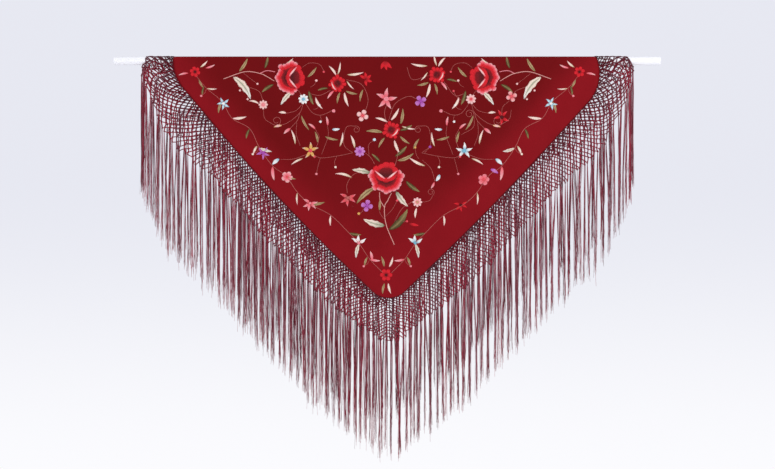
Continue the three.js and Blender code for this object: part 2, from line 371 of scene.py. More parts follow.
class Nodes:
    """A short way to lay out the nodes of a material or a node group."""

    def __init__(self, tree: bpy.types.NodeTree) -> None:
        """Starts with an empty tree."""
        self.tree = tree
        tree.nodes.clear()

    def _set(self, socket: bpy.types.NodeSocket, value: object) -> None:
        """Links an input to another node's output, or gives it a value."""
        if isinstance(value, bpy.types.NodeSocket):
            self.tree.links.new(value, socket)
        elif socket.type == "RGBA":
            socket.default_value = (*value, 1.0)
        else:
            socket.default_value = value

    def add(self, kind: str, **settings: object) -> bpy.types.Node:
        """Adds a node.

        Args:
            kind: The node's type.
            settings: Attributes, or inputs by name with underscores for spaces.

        Returns:
            The node.
        """
        node = self.tree.nodes.new(kind)
        for name, value in settings.items():
            if hasattr(node, name):
                setattr(node, name, value)
            else:
                self._set(node.inputs[name.replace("_", " ")], value)
        return node

    def math(self, operation: str, a: object, b: object) -> bpy.types.NodeSocket:
        """The result of a sum on two values or sockets."""
        node = self.add("ShaderNodeMath", operation=operation)
        for socket, value in zip(node.inputs, (a, b)):
            self._set(socket, value)
        return node.outputs[0]

    def line(self, value: object, slope: object, start: float) -> bpy.types.NodeSocket:
        """A value times the slope, from the start on."""
        return self.math("ADD", self.math("MULTIPLY", value, slope), start)

    def mix(
        self, factor: object, a: object, b: object, blend: str = "MIX"
    ) -> bpy.types.NodeSocket:
        """A mix of two colours."""
        node = self.add("ShaderNodeMix", data_type="RGBA", blend_type=blend)
        for index, value in ((0, factor), (6, a), (7, b)):
            self._set(node.inputs[index], value)
        return node.outputs[2]

    def times(self, colour: object, factor: bpy.types.NodeSocket) -> bpy.types.NodeSocket:
        """A colour made lighter or darker by a factor."""
        grey = self.add("ShaderNodeCombineColor", Red=factor, Green=factor, Blue=factor)
        return self.mix(1.0, colour, grey.outputs[0], "MULTIPLY")

    def group(self, tree: bpy.types.NodeTree, place: object, **values: object) -> dict:
        """Adds a node group that is read at that place, and gives its outputs by name."""
        node = self.add("ShaderNodeGroup", node_tree=tree, Place=place, **values)
        return {out.name: out for out in node.outputs}

    def own_place(self) -> bpy.types.NodeSocket:
        """Where a point is on its own piece."""
        return self.add("ShaderNodeTexCoord").outputs["Object"]

    def sewn_place(self) -> bpy.types.NodeSocket:
        """Where a point is on the cloth, or along its own thread."""
        return self.add("ShaderNodeUVMap", uv_map="cloth").outputs[0]

    def tint(self) -> bpy.types.NodeSocket:
        """The colour that the mesh itself holds."""
        return self.add("ShaderNodeVertexColor", layer_name="thread").outputs[0]

    def finish(
        self, colour: object, height: bpy.types.NodeSocket, depth: float, **settings: object
    ) -> None:
        """Ends a material with its shader and bump.

        Args:
            colour: Its colour.
            height: The relief, from 0 to 1.
            depth: How deep that relief is, in metres.
            settings: Inputs of the shader.
        """
        bump = self.add("ShaderNodeBump", Height=height, Distance=depth, Strength=1.0).outputs[0]
        shader = self.add("ShaderNodeBsdfPrincipled", Base_Color=colour, Normal=bump, **settings)
        self.add("ShaderNodeOutputMaterial", Surface=shader.outputs[0])


def linear(red: int, green: int, blue: int) -> Colour:
    """A colour of 0 to 255 on a screen, as the light that it stands for."""
    shares = (value / 255.0 for value in (red, green, blue))
    return tuple(s / 12.92 if s <= 0.04045 else ((s + 0.055) / 1.055) ** 2.4 for s in shares)


def new_group(name: str, outputs: Sequence[str], **inputs: object) -> tuple:
    """Makes an empty node group that is read at a place.

    Args:
        name: The group's name.
        outputs: Names of its value outputs.
        inputs: Start value of each input; three numbers make it a vector.

    Returns:
        The group, its node helper and its inputs by name.
    """
    group = bpy.data.node_groups.new(name, "ShaderNodeTree")
    for label, value in {"Place": (0.0, 0.0, 0.0), **inputs}.items():
        kind = "NodeSocketVector" if isinstance(value, tuple) else "NodeSocketFloat"
        socket = group.interface.new_socket(label, in_out="INPUT", socket_type=kind)
        socket.default_value = value
    for label in outputs:
        group.interface.new_socket(label, in_out="OUTPUT", socket_type="NodeSocketFloat")
    nodes = Nodes(group)
    return group, nodes, {out.name: out for out in nodes.add("NodeGroupInput").outputs if out.name}


def crepe_group() -> bpy.types.NodeTree:
    """The pebbled weave of crepe, as a height and a painted shade that darkens its hollows."""
    group, nodes, ins = new_group("Crepe weave", ("Height", "Shade"), Threads=900.0)
    fine = []
    for squeeze in ((1.0, 0.45, 1.0), (0.45, 1.0, 1.0)):
        place = nodes.add("ShaderNodeMapping", Vector=ins["Place"], Scale=squeeze).outputs[0]
        noise = nodes.add("ShaderNodeTexNoise", Vector=place, Scale=ins["Threads"], Detail=2.0)
        fine.append(noise.outputs["Fac"])
    height = nodes.math("MULTIPLY", nodes.math("ADD", *fine), 0.5)
    nodes.add("NodeGroupOutput", Height=height, Shade=nodes.line(height, 0.5, 0.75))
    return group


def ply_group() -> bpy.types.NodeTree:
    """Fine threads that lie side by side, as a height and a painted shade that darkens the grooves
    between them.
    """
    group, nodes, ins = new_group(
        "Thread lines", ("Height", "Shade"), Turn=(0.0, 0.0, 0.0), Threads=1600.0, Wander=1.0
    )
    turned = nodes.add("ShaderNodeMapping", Vector=ins["Place"], Rotation=ins["Turn"]).outputs[0]
    threads = {
        "Vector": turned, "Scale": nodes.math("MULTIPLY", ins["Threads"], 0.314),
        "Distortion": ins["Wander"], "Detail": 1.0, "Detail_Scale": 1.0,
    }
    lines = nodes.add("ShaderNodeTexWave", wave_type="BANDS", bands_direction="X", **threads)
    stretched = nodes.add("ShaderNodeMapping", Vector=turned, Scale=(1.0, 0.06, 1.0)).outputs[0]
    half = nodes.math("MULTIPLY", ins["Threads"], 0.5)
    uneven = nodes.add("ShaderNodeTexNoise", Vector=stretched, Scale=half, Detail=2.0)
    height = nodes.math(
        "ADD",
        nodes.math("MULTIPLY", lines.outputs["Fac"], 0.7),
        nodes.math("MULTIPLY", uneven.outputs["Fac"], 0.3),
    )
    nodes.add("NodeGroupOutput", Height=height, Shade=nodes.line(height, 0.45, 0.74))
    return group


def mottle_group() -> bpy.types.NodeTree:
    """Slow, uneven shading of dye or paint, as a factor around 1."""
    group, nodes, ins = new_group("Uneven dye", ("Factor",), Scale=8.0, Amount=0.1)
    cloud = nodes.add("ShaderNodeTexNoise", Vector=ins["Place"], Scale=ins["Scale"], Detail=4.0)
    off = nodes.math("SUBTRACT", cloud.outputs["Fac"], 0.5)
    nodes.add("NodeGroupOutput", Factor=nodes.line(off, ins["Amount"], 1.0))
    return group


@dataclass
class Patterns:
    """The node groups that the finishes share."""

    crepe: bpy.types.NodeTree = field(default_factory=crepe_group)
    lines: bpy.types.NodeTree = field(default_factory=ply_group)
    mottle: bpy.types.NodeTree = field(default_factory=mottle_group)


def new_material(name: str) -> tuple[bpy.types.Material, Nodes]:
    """A new material and its nodes."""
    material = bpy.data.materials.new(name)
    material.use_nodes = True
    return material, Nodes(material.node_tree)


@dataclass(frozen=True)
class CrepeFinish:
    """Dark red crepe with painted light in its colour: painted lighter where only one layer hangs,
    as if light shone through it, and painted darker where the other half hangs behind and shades
    it.
    """

    # The first red is the crepe in painted shade where two layers hang; the second is painted
    # lighter, as if lit through one layer.
    shaded_red: Colour = linear(108, 8, 12)
    backlit_red: Colour = linear(132, 14, 23)
    threads: float = 1100.0
    depth: float = 0.00016
    roughness: float = 0.5
    gloss: float = 0.06
    mottle: float = 0.22

    def build(self, patterns: Patterns) -> bpy.types.Material:
        """Makes the material."""
        material, nodes = new_material("crepe")
        place = nodes.sewn_place()
        # The mesh colour holds the painted backlight mask that mixes the two reds.
        backlight = nodes.add("ShaderNodeSeparateColor", Color=nodes.tint()).outputs[0]
        weave = nodes.group(patterns.crepe, place, Threads=self.threads)
        dye = nodes.group(patterns.mottle, place, Scale=9.0, Amount=self.mottle)
        # Painted shade in the weave's hollows, times the uneven dye.
        shade = nodes.math("MULTIPLY", weave["Shade"], dye["Factor"])
        nodes.finish(
            nodes.times(nodes.mix(backlight, self.shaded_red, self.backlit_red), shade),
            weave["Height"], self.depth,
            Roughness=nodes.line(weave["Height"], 0.2, self.roughness),
            Specular_IOR_Level=self.gloss,
        )
        return material


@dataclass(frozen=True)
class ThreadFinish:
    """Silk thread in the colour that each place of the mesh holds."""

    name: str
    threads: float
    depth: float
    roughness: float
    gloss: float
    mottle: float
    slant: float
    sheen: float = 0.0

    def build(self, patterns: Patterns) -> bpy.types.Material:
        """Makes the material."""
        material, nodes = new_material(self.name)
        turn = (0.0, 0.0, self.slant)
        lines = nodes.group(patterns.lines, nodes.sewn_place(), Turn=turn, Threads=self.threads)
        dye = nodes.group(patterns.mottle, nodes.own_place(), Scale=90.0, Amount=self.mottle)
        # Painted shade in the grooves between threads, times the uneven dye.
        shade = nodes.math("MULTIPLY", lines["Shade"], dye["Factor"])
        nodes.finish(
            nodes.times(nodes.tint(), shade), lines["Height"], self.depth,
            Roughness=nodes.line(lines["Height"], 0.15, self.roughness),
            Sheen_Weight=self.sheen, Sheen_Roughness=0.35, Specular_IOR_Level=self.gloss,
        )
        return material


@dataclass(frozen=True)
class PaintFinish:
    """Smooth pale paint with faint brushing and scuffs."""

    name: str
    colour: Colour
    roughness: float
    depth: float
    stretch: Triple

    def build(self, patterns: Patterns) -> bpy.types.Material:
        """Makes the material."""
        material, nodes = new_material(self.name)
        place = nodes.add("ShaderNodeMapping", Vector=nodes.own_place(), Scale=self.stretch)
        place = place.outputs[0]
        streaks = nodes.add("ShaderNodeTexNoise", Vector=place, Scale=220.0, Detail=3.0)
        streaks = streaks.outputs["Fac"]
        dye = nodes.group(patterns.mottle, place, Scale=12.0, Amount=0.04)
        nodes.finish(
            nodes.times(self.colour, dye["Factor"]), streaks, self.depth,
            Roughness=nodes.line(streaks, 0.14, self.roughness),
        )
        return material


CREPE = CrepeFinish()
SATIN = ThreadFinish("satin_stitch", 1500.0, 0.00022, 0.42, gloss=0.16, mottle=0.12, slant=0.35)
SEAM = ThreadFinish("hem_thread", 900.0, 0.0002, 0.6, 0.12, mottle=0.1, slant=0.9, sheen=0.02)
KNOTTED = ThreadFinish("knotted_yarn", 1700.0, 0.0002, 0.55, gloss=0.08, mottle=0.35, slant=0.7)
LOOSE = ThreadFinish("loose_yarn", 2600.0, 0.0001, 0.5, gloss=0.1, mottle=0.5, slant=0.6)
GLOSS_PAINT = PaintFinish("satin_paint", linear(254, 254, 255), 0.3, 0.00002, (0.12, 1.0, 1.0))
PAPER = PaintFinish("paper", linear(240, 240, 243), 0.9, 0.0001, (1.0, 1.0, 1.0))


# ---- the cloth


@dataclass
class Cloth:
    """The square of crepe and its rolled hem, laid over the rod."""

    hang: Hang
    step: float = 9.0
    columns: int = 120
    thickness: float = 0.8
    hem_step: float = 6.0
    hem_sides: int = 7
    hem_radius: float = 1.5
    hem_twist: float = 2.6
    hem_tint: Colour = linear(84, 10, 18)
    tip_size: float = 50.0
    # Where the painted backlight and the painted shade of the half behind fall on the cloth.
    lit_from: float = 300.0
    lit_growth: float = 400.0
    shadow_start: float = 25.0
    shadow_blur: float = 120.0
    tip_steps: tuple[float, ...] = (0.2, 0.8, 2, 3.5, 5.5, 8, 11, 15, 20, 26, 33, 41)

    def _rows(self) -> Array:
        """Heights of the cloth's rows, from the front tip to the back tip."""
        low, high = self.hang.tip(Face.FRONT)[1], self.hang.tip(Face.BACK)[1]
        q = self.hang.quarter
        front = np.arange(low - self.tip_size, q, -self.step)
        back = np.arange(-q - self.step, high + self.tip_size, -self.step)
        tips, over = np.array(self.tip_steps), np.linspace(q, -q, 21)
        return np.concatenate([low - tips, front, over, back, (high + tips)[::-1]])

    def _backlight_mask(self, across: Array, down: Array) -> Array:
        """Painted backlight mask: 1 where the cloth hangs by itself and is painted lighter as if
        light shone through, 0 where the other half hangs behind it and is painted in its shade;
        that painted shade thins out further from the fold.
        """
        left, right = (self.hang.edge(-down, side) for side in Side)
        tip = np.where(down > 0, -self.hang.tip(Face.BACK)[1], self.hang.tip(Face.FRONT)[1])
        inside = np.minimum(np.minimum(across - left, right - across) * 0.7, tip - np.abs(down))
        # Painted shade of the half behind, weaker further from the fold.
        behind_shade = 1.0 - 0.6 * smooth((np.abs(down) - self.lit_from) / self.lit_growth)
        return 1.0 - behind_shade * smooth((inside + self.shadow_start) / self.shadow_blur)

    def build(self, crepe: bpy.types.Material) -> bpy.types.Object:
        """Makes the sheet, with its thickness.

        Args:
            crepe: Its finish.

        Returns:
            The sheet.
        """
        rows = self._rows()[:, None]
        left, right = (self.hang.edge(rows, side) for side in Side)
        across = lerp(left, right, np.linspace(0.0, 1.0, self.columns + 1)[None])
        down = np.broadcast_to(rows, across.shape)
        grid = np.arange(across.size).reshape(across.shape)
        faces = np.stack([grid[:-1, :-1], grid[:-1, 1:], grid[1:, 1:], grid[1:, :-1]], -1)
        # Painted backlight: how much lighter each corner is painted, as if light shone through one
        # layer.
        backlight = self._backlight_mask(across, down)[..., None]
        place = np.stack([across, down], -1) * METRES
        parts = MeshParts()
        parts.add(self.hang.place(across, down), backlight, place, faces)
        sheet = parts.build("shawl_cloth", crepe)
        bpy.ops.object.select_all(action="DESELECT")
        sheet.select_set(True)
        bpy.context.view_layer.objects.active = sheet
        wall = sheet.modifiers.new("wall", "SOLIDIFY")
        wall.thickness = self.thickness * METRES
        wall.offset = 0.0
        bpy.ops.object.modifier_apply(modifier=wall.name)
        return sheet

    def build_hem(self, thread: bpy.types.Material) -> bpy.types.Object:
        """Makes the rolled hem, as one closed cord round the whole edge."""
        left, right = (self.hang.chains[side] for side in Side)
        chain = np.concatenate([left, right[::-1][1:]])
        run = run_of(chain)
        s = np.linspace(0.0, run[-1], int(run[-1] / self.hem_step), endpoint=False)
        across, down = (np.interp(s, run, chain[:, i]) for i in (0, 1))
        middle, out = self.hang.place(across, down), self.hang.outward(down)
        along = unit(np.roll(middle, -1, axis=0) - np.roll(middle, 1, axis=0))
        angles, ring = ring_of(self.hem_sides, np.cross(along, out), out)
        radius = self.hem_radius * (1.0 + 0.12 * np.sin(s / self.hem_twist)) * METRES
        place = np.stack(np.broadcast_arrays(s[:, None], angles * self.hem_radius), -1) * METRES
        grid = np.arange(len(s) * self.hem_sides).reshape(len(s), -1)
        ahead, beside = np.roll(grid, -1, axis=0), np.roll(grid, -1, axis=1)
        faces = np.stack([grid, ahead, np.roll(ahead, -1, axis=1), beside], -1)
        parts = MeshParts()
        parts.add(middle[:, None] + radius[:, None, None] * ring, self.hem_tint, place, faces)
        return parts.build("rolled_hem", thread)


# ---- the net and the fringe

QUARTERS = (
    (Face.FRONT, Side.LEFT), (Face.FRONT, Side.RIGHT),
    (Face.BACK, Side.RIGHT), (Face.BACK, Side.LEFT),
)


@dataclass
class Net:
    """The knotted net that hangs from the whole hem, and the strings it is tied from."""

    hang: Hang
    pitch: float = 13.6
    rows: int = 15
    first_row: float = 10.5
    last_row: float = 15.5
    depth: float = 193.0
    depth_at_tip: float = 153.0
    tip_reach: float = 300.0
    reach: float = 880.0
    swung_reach: float = 896.0
    fan_edge: float = 260.0
    fan_drop: float = 200.0
    turn_at: float = 0.67
    turn_low: float = 0.45
    least_fall: float = 0.22
    string_radius: float = 2.45
    string_sway: float = 0.9
    knot_radius: float = 3.4
    rung_radius: float = 2.35
    longest_rung: float = 42.0
    knot_tilt: float = 0.35
    knot_sizes: Point = (0.8, 1.2)
    uneven: Point = (0.75, 1.3)
    last_drop: Point = (-8.0, 12.0)
    last_pull: float = 0.45
    # How dark the painted shade makes the yarn by the hem and over the rod, and how light away
    # from them.
    hem_shade: Point = (0.55, 1.05)
    rod_shade: Point = (0.6, 1.0)
    seed: int = 21
    black: Colour = linear(132, 72, 82)
    red: Colour = linear(154, 50, 66)

    def __post_init__(self) -> None:
        """Numbers the strings round the whole hem, and chooses their colours."""
        self.edges = []
        for face, side in QUARTERS:
            chain = self.hang.chains[side]
            edge = chain[chain[:, 1] * face.value > 0.0][:: face.value]
            edge = np.concatenate([[[self.hang.edge(0.0, side), 0.0]], edge])
            self.edges.append((run_of(edge), edge))
        self.starts = np.cumsum([0.0, *(run[-1] for run, _ in self.edges)])
        self.count = 2 * round(self.starts[-1] / self.pitch / 2.0)
        self.spacing = self.starts[-1] / self.count
        mixed = waves(np.arange(self.count), 31, (4.3, 7.1, 17.0))
        mixed = mixed + np.random.default_rng(self.seed).normal(0.0, 0.45, self.count)
        wine = smooth(0.62 + 0.5 * mixed)
        for face, side in QUARTERS:
            wine[self.strings_of(face, side)[:6]] = (0.1, 0.2, 1.0, 1.0, 0.9, 0.2)
        self.tints = lerp(np.array(self.black), np.array(self.red), wine[:, None])

    def _locate(self, loop: Array) -> tuple[Array, Array]:
        """Which quarter a place on the hem's loop is in, and its way from the fold there."""
        loop = np.mod(loop, self.starts[-1])
        quarter = np.clip(np.searchsorted(self.starts, loop, side="right") - 1, 0, 3)
        away, back = loop - self.starts[quarter], self.starts[quarter + 1] - loop
        return quarter, np.where(np.isin(quarter, (1, 3)), back, away)

    def reach_down(self, loop: Array, share: Array) -> tuple[Array, Array]:
        """The place on the unfolded net of a string.

        Args:
            loop: Where the string starts, on the way round the hem.
            share: The share of the net's depth, from 0 at the hem to 1 at the last knot.

        Returns:
            Across and down, both on the cloth's own grid.
        """
        loop, share = np.broadcast_arrays(loop, share)
        quarter, way = self._locate(loop)
        across, down = np.zeros(loop.shape), np.zeros(loop.shape)
        for i, ((face, side), (run, edge)) in enumerate(zip(QUARTERS, self.edges)):
            here = quarter == i
            s, q = way[here], share[here]
            a0, d0 = np.interp(s, run, edge[:, 0]), np.abs(np.interp(s, run, edge[:, 1]))
            past = np.maximum(s - self.hang.quarter, 0.0)
            fan = np.minimum(past / self.fan_edge, 1.0)
            turn = np.interp(self.fan_edge + self.hang.quarter, run, edge[:, 0])
            goal = np.where(fan < 1.0, lerp(side.value * self.reach, turn, fan**1.2), a0)
            fanned = (1.0 - fan) ** 2
            corner = lerp(self.turn_low, self.turn_at, fanned)
            sideways = 1.0 - (1.0 - np.minimum(q / corner, 1.0)) ** 1.5
            late = np.maximum((q - 0.8 * corner) / (1.0 - 0.8 * corner), 0.0)
            fall = lerp(q, late, fanned)
            off_tip = np.abs(a0 - self.hang.tip(face)[0]) / self.tip_reach
            deep = lerp(self.depth_at_tip, self.depth, smooth(off_tip))
            drop = 1.0 - (1.0 - np.minimum(past / self.fan_drop, 1.0)) ** 2
            deep = deep * lerp(self.least_fall, 1.0, drop) + np.maximum(self.hang.quarter - s, 0.0)
            swing = side.value * (self.swung_reach - self.reach) * fanned * fall
            across[here] = lerp(a0, goal, sideways) + swing
            down[here] = face.value * (d0 + deep * fall)
        return across, down

    def strings_of(self, face: Face, side: Side) -> Array:
        """The numbers of an edge's strings, from the fold to the tip."""
        k = np.arange(self.count)
        quarter, way = self._locate((k + 0.5) * self.spacing)
        mine = k[quarter == QUARTERS.index((face, side))]
        return mine[np.argsort(way[mine])]

    def lay_strings(self) -> tuple[Array, Array]:
        """Lays every string through its knots, whose rows are closer together by the hem.

        Returns:
            Across and down of each string at each row; row 0 is at the hem.
        """
        heights = np.linspace(self.first_row, self.last_row, self.rows)
        shares = np.concatenate([[0.0], np.cumsum(heights)]) / heights.sum()
        loop = (np.arange(self.count)[:, None] + 0.5) * self.spacing
        fine = self.reach_down(loop, np.linspace(0.0, 1.0, 61)[None])
        runs = run_of(np.stack(fine, -1))
        across, down = (
            np.stack([np.interp(shares * run[-1], run, row) for run, row in zip(runs, line)])
            for line in fine
        )
        dice = np.random.default_rng(self.seed + 1)
        free = smooth(shares * 4.0)
        loose = 1.0 + 2.2 * smooth(1.2 - np.abs(down) / 150.0)
        lean = waves(loop, 41, (210.0, 127.0, 71.0)) * shares * 3.0
        lean = lean + waves(down + 3.0 * loop, 43, (97.0, 61.0)) * free * 1.1 * loose
        across = across + free * loose * dice.normal(0.0, self.uneven[0], across.shape) + lean
        fall = np.where(down < 0.0, -1.0, 1.0)
        down = down + fall * free * loose * dice.normal(0.0, self.uneven[1], across.shape)
        for face, side in QUARTERS:
            mine = self.strings_of(face, side)
            two = mine[: len(mine) // 2 * 2].reshape(-1, 2)
            low = dice.uniform(*self.last_drop, (len(two), 1, 1)) * np.array([0.0, 0.4, 1.0])
            for line in (across, down):
                ends = line[two, -1:]
                line[two, -1:] = lerp(ends, ends.mean(axis=1, keepdims=True), self.last_pull)
            down[two, -3:] += face.value * low
        return across, down

    def _painted_shade(self, share: Array, down: Array) -> Array:
        """Painted shade on the yarn: darkest at the hem and over the rod, a little lighter away
        from them.
        """
        off_hem, off_rod = smooth(share * 1.5), smooth(np.abs(down) / 70.0 - 0.2)
        return (lerp(*self.hem_shade, off_hem) * lerp(*self.rod_shade, off_rod))[..., None]

    def _strings(self, parts: MeshParts, across: Array, down: Array, chosen: Array) -> None:
        """Adds the strings of one side, bowed a little between knots."""
        t = np.linspace(0.0, self.rows, self.rows * 2 + 1)
        low = np.minimum(t.astype(int), self.rows - 1)
        a, d = (lerp(v[:, low], v[:, low + 1], t - low) for v in (across[chosen], down[chosen]))
        middle = np.sin(math.pi * (t - low))
        sway = np.where((low + chosen[:, None]) % 2 == 0, 1.0, -1.0) * middle
        points = self.hang.place(a + self.string_sway * sway, d, 0.7 * sway)
        radii = np.full(a.shape, self.string_radius * METRES) * (1.0 - 0.12 * middle)
        tints = self.tints[chosen][:, None] * self._painted_shade(t / t[-1], d)
        add_cords(parts, points, self.hang.outward(d), radii, 4, tints)

    def _ties(self, side: Side) -> tuple[Array, Array, Array, Array]:
        """Which knots of one side are joined: string and row at both ends of each tie.

        Args:
            side: Which side.

        Returns:
            The first strings and their rows, then the second ones and theirs. On a hanging
            half a tie slants up by a row, and over the fold and at the tips it is level.
        """
        ends = []
        for face in Face:
            mine = self.strings_of(face, side)
            ends += [(*two, 1) for two in zip(mine[:-1], mine[1:])]
        ends.append((*(self.strings_of(face, side)[0] for face in Face), 0))
        if side is Side.LEFT:
            ends += [(*(self.strings_of(face, s)[-1] for s in Side), 0) for face in Face]
        first, second, up = np.repeat(np.array(ends), self.rows, axis=0).T
        row = np.tile(np.arange(1, self.rows + 1), len(ends))
        return first, row, second, row - up

    def _rungs(self, parts: MeshParts, across: Array, down: Array, side: Side) -> None:
        """Adds the short lengths that tie each string to its neighbours."""
        first, row, second, other = self._ties(side)
        a, d = (np.stack([v[first, row], v[second, other]], -1) for v in (across, down))
        facing = (np.abs(d).max(axis=1) < self.hang.quarter) | (d[:, 0] * d[:, 1] > 0.0)
        near = facing & (np.hypot(a[:, 0] - a[:, 1], d[:, 0] - d[:, 1]) < self.longest_rung)
        a, d = (np.stack([v[near, 0], v[near].mean(axis=1), v[near, 1]], -1) for v in (a, d))
        points = self.hang.place(a, d, np.array([0.0, 0.8, 0.0]))
        radii = np.full(a.shape, self.rung_radius * METRES)
        tints = self.tints[np.stack([first, first, second], 1)][near]
        tints = tints * self._painted_shade(row[near, None] / self.rows, d)
        add_cords(parts, points, self.hang.outward(d), radii, 3, tints)

    def _knot_shape(self) -> tuple[Array, Array]:
        """One knot, as points and triangles."""
        bpy.ops.object.select_all(action="DESELECT")
        bpy.ops.mesh.primitive_uv_sphere_add(segments=5, ring_count=4, radius=1.0)
        knot = bpy.context.active_object
        bpy.ops.object.mode_set(mode="EDIT")
        bpy.ops.mesh.select_all(action="SELECT")
        bpy.ops.transform.resize(value=(1.0, 0.8, 1.15))
        bpy.ops.mesh.quads_convert_to_tris()
        bpy.ops.object.mode_set(mode="OBJECT")
        points = np.array([v.co[:] for v in knot.data.vertices])
        faces = np.array([p.vertices[:] for p in knot.data.polygons])
        bpy.data.objects.remove(knot, do_unlink=True)
        return points, faces

    def _knots(self, parts: MeshParts, across: Array, down: Array, chosen: Array) -> None:
        """Adds a knot at every row of the strings of one side."""
        shape, faces = self._knot_shape()
        k = np.repeat(chosen, self.rows)
        j = np.tile(np.arange(1, self.rows + 1), len(chosen))
        a, d = across[k, j], down[k, j]
        dice = np.random.default_rng(self.seed + 2)
        centre, out = self.hang.place(a, d), self.hang.outward(d)
        way = unit(self.hang.place(a, d + np.where(d < 0.0, -2.0, 2.0)) - centre)
        side = np.cross(way, out)
        tilt = dice.normal(0.0, self.knot_tilt, len(k))[:, None]
        cos, sin = np.cos(tilt), np.sin(tilt)
        size = dice.uniform(*self.knot_sizes, len(k))[:, None, None]
        size = self.knot_radius * METRES * size
        axes = np.stack([side * cos - way * sin, out, way * cos + side * sin], 1)
        points = centre[:, None] + np.einsum("nvi,nij->nvj", shape * size, axes)
        faces = faces if np.linalg.det(axes[0]) > 0 else faces[:, ::-1]
        faces = faces + (np.arange(len(k)) * len(shape))[:, None, None]
        # Knots are painted 0.7 as dark as their string: painted shade in the tight knots.
        tint = 0.7 * self.tints[k] * self._painted_shade(j / self.rows, d)
        parts.add(points, tint[:, None], np.zeros(2), faces)

    def build(self, side: Side, yarn: bpy.types.Material) -> bpy.types.Object:
        """Makes the net of one side, from the front tip over the rod to the back tip.

        Args:
            side: Which side.
            yarn: Its finish.

        Returns:
            The net.
        """
        across, down = self.lay_strings()
        mine = np.concatenate([self.strings_of(face, side) for face in Face])
        parts = MeshParts()
        self._strings(parts, across, down, mine)
        self._rungs(parts, across, down, side)
        self._knots(parts, across, down, mine)
        return parts.build(f"net_{side.name.lower()}", yarn)


class Pull(NamedTuple):
    """How far strands are drawn together in hanks, and how far their yarns may spread."""

    least: float
    most: float
    loosest: float


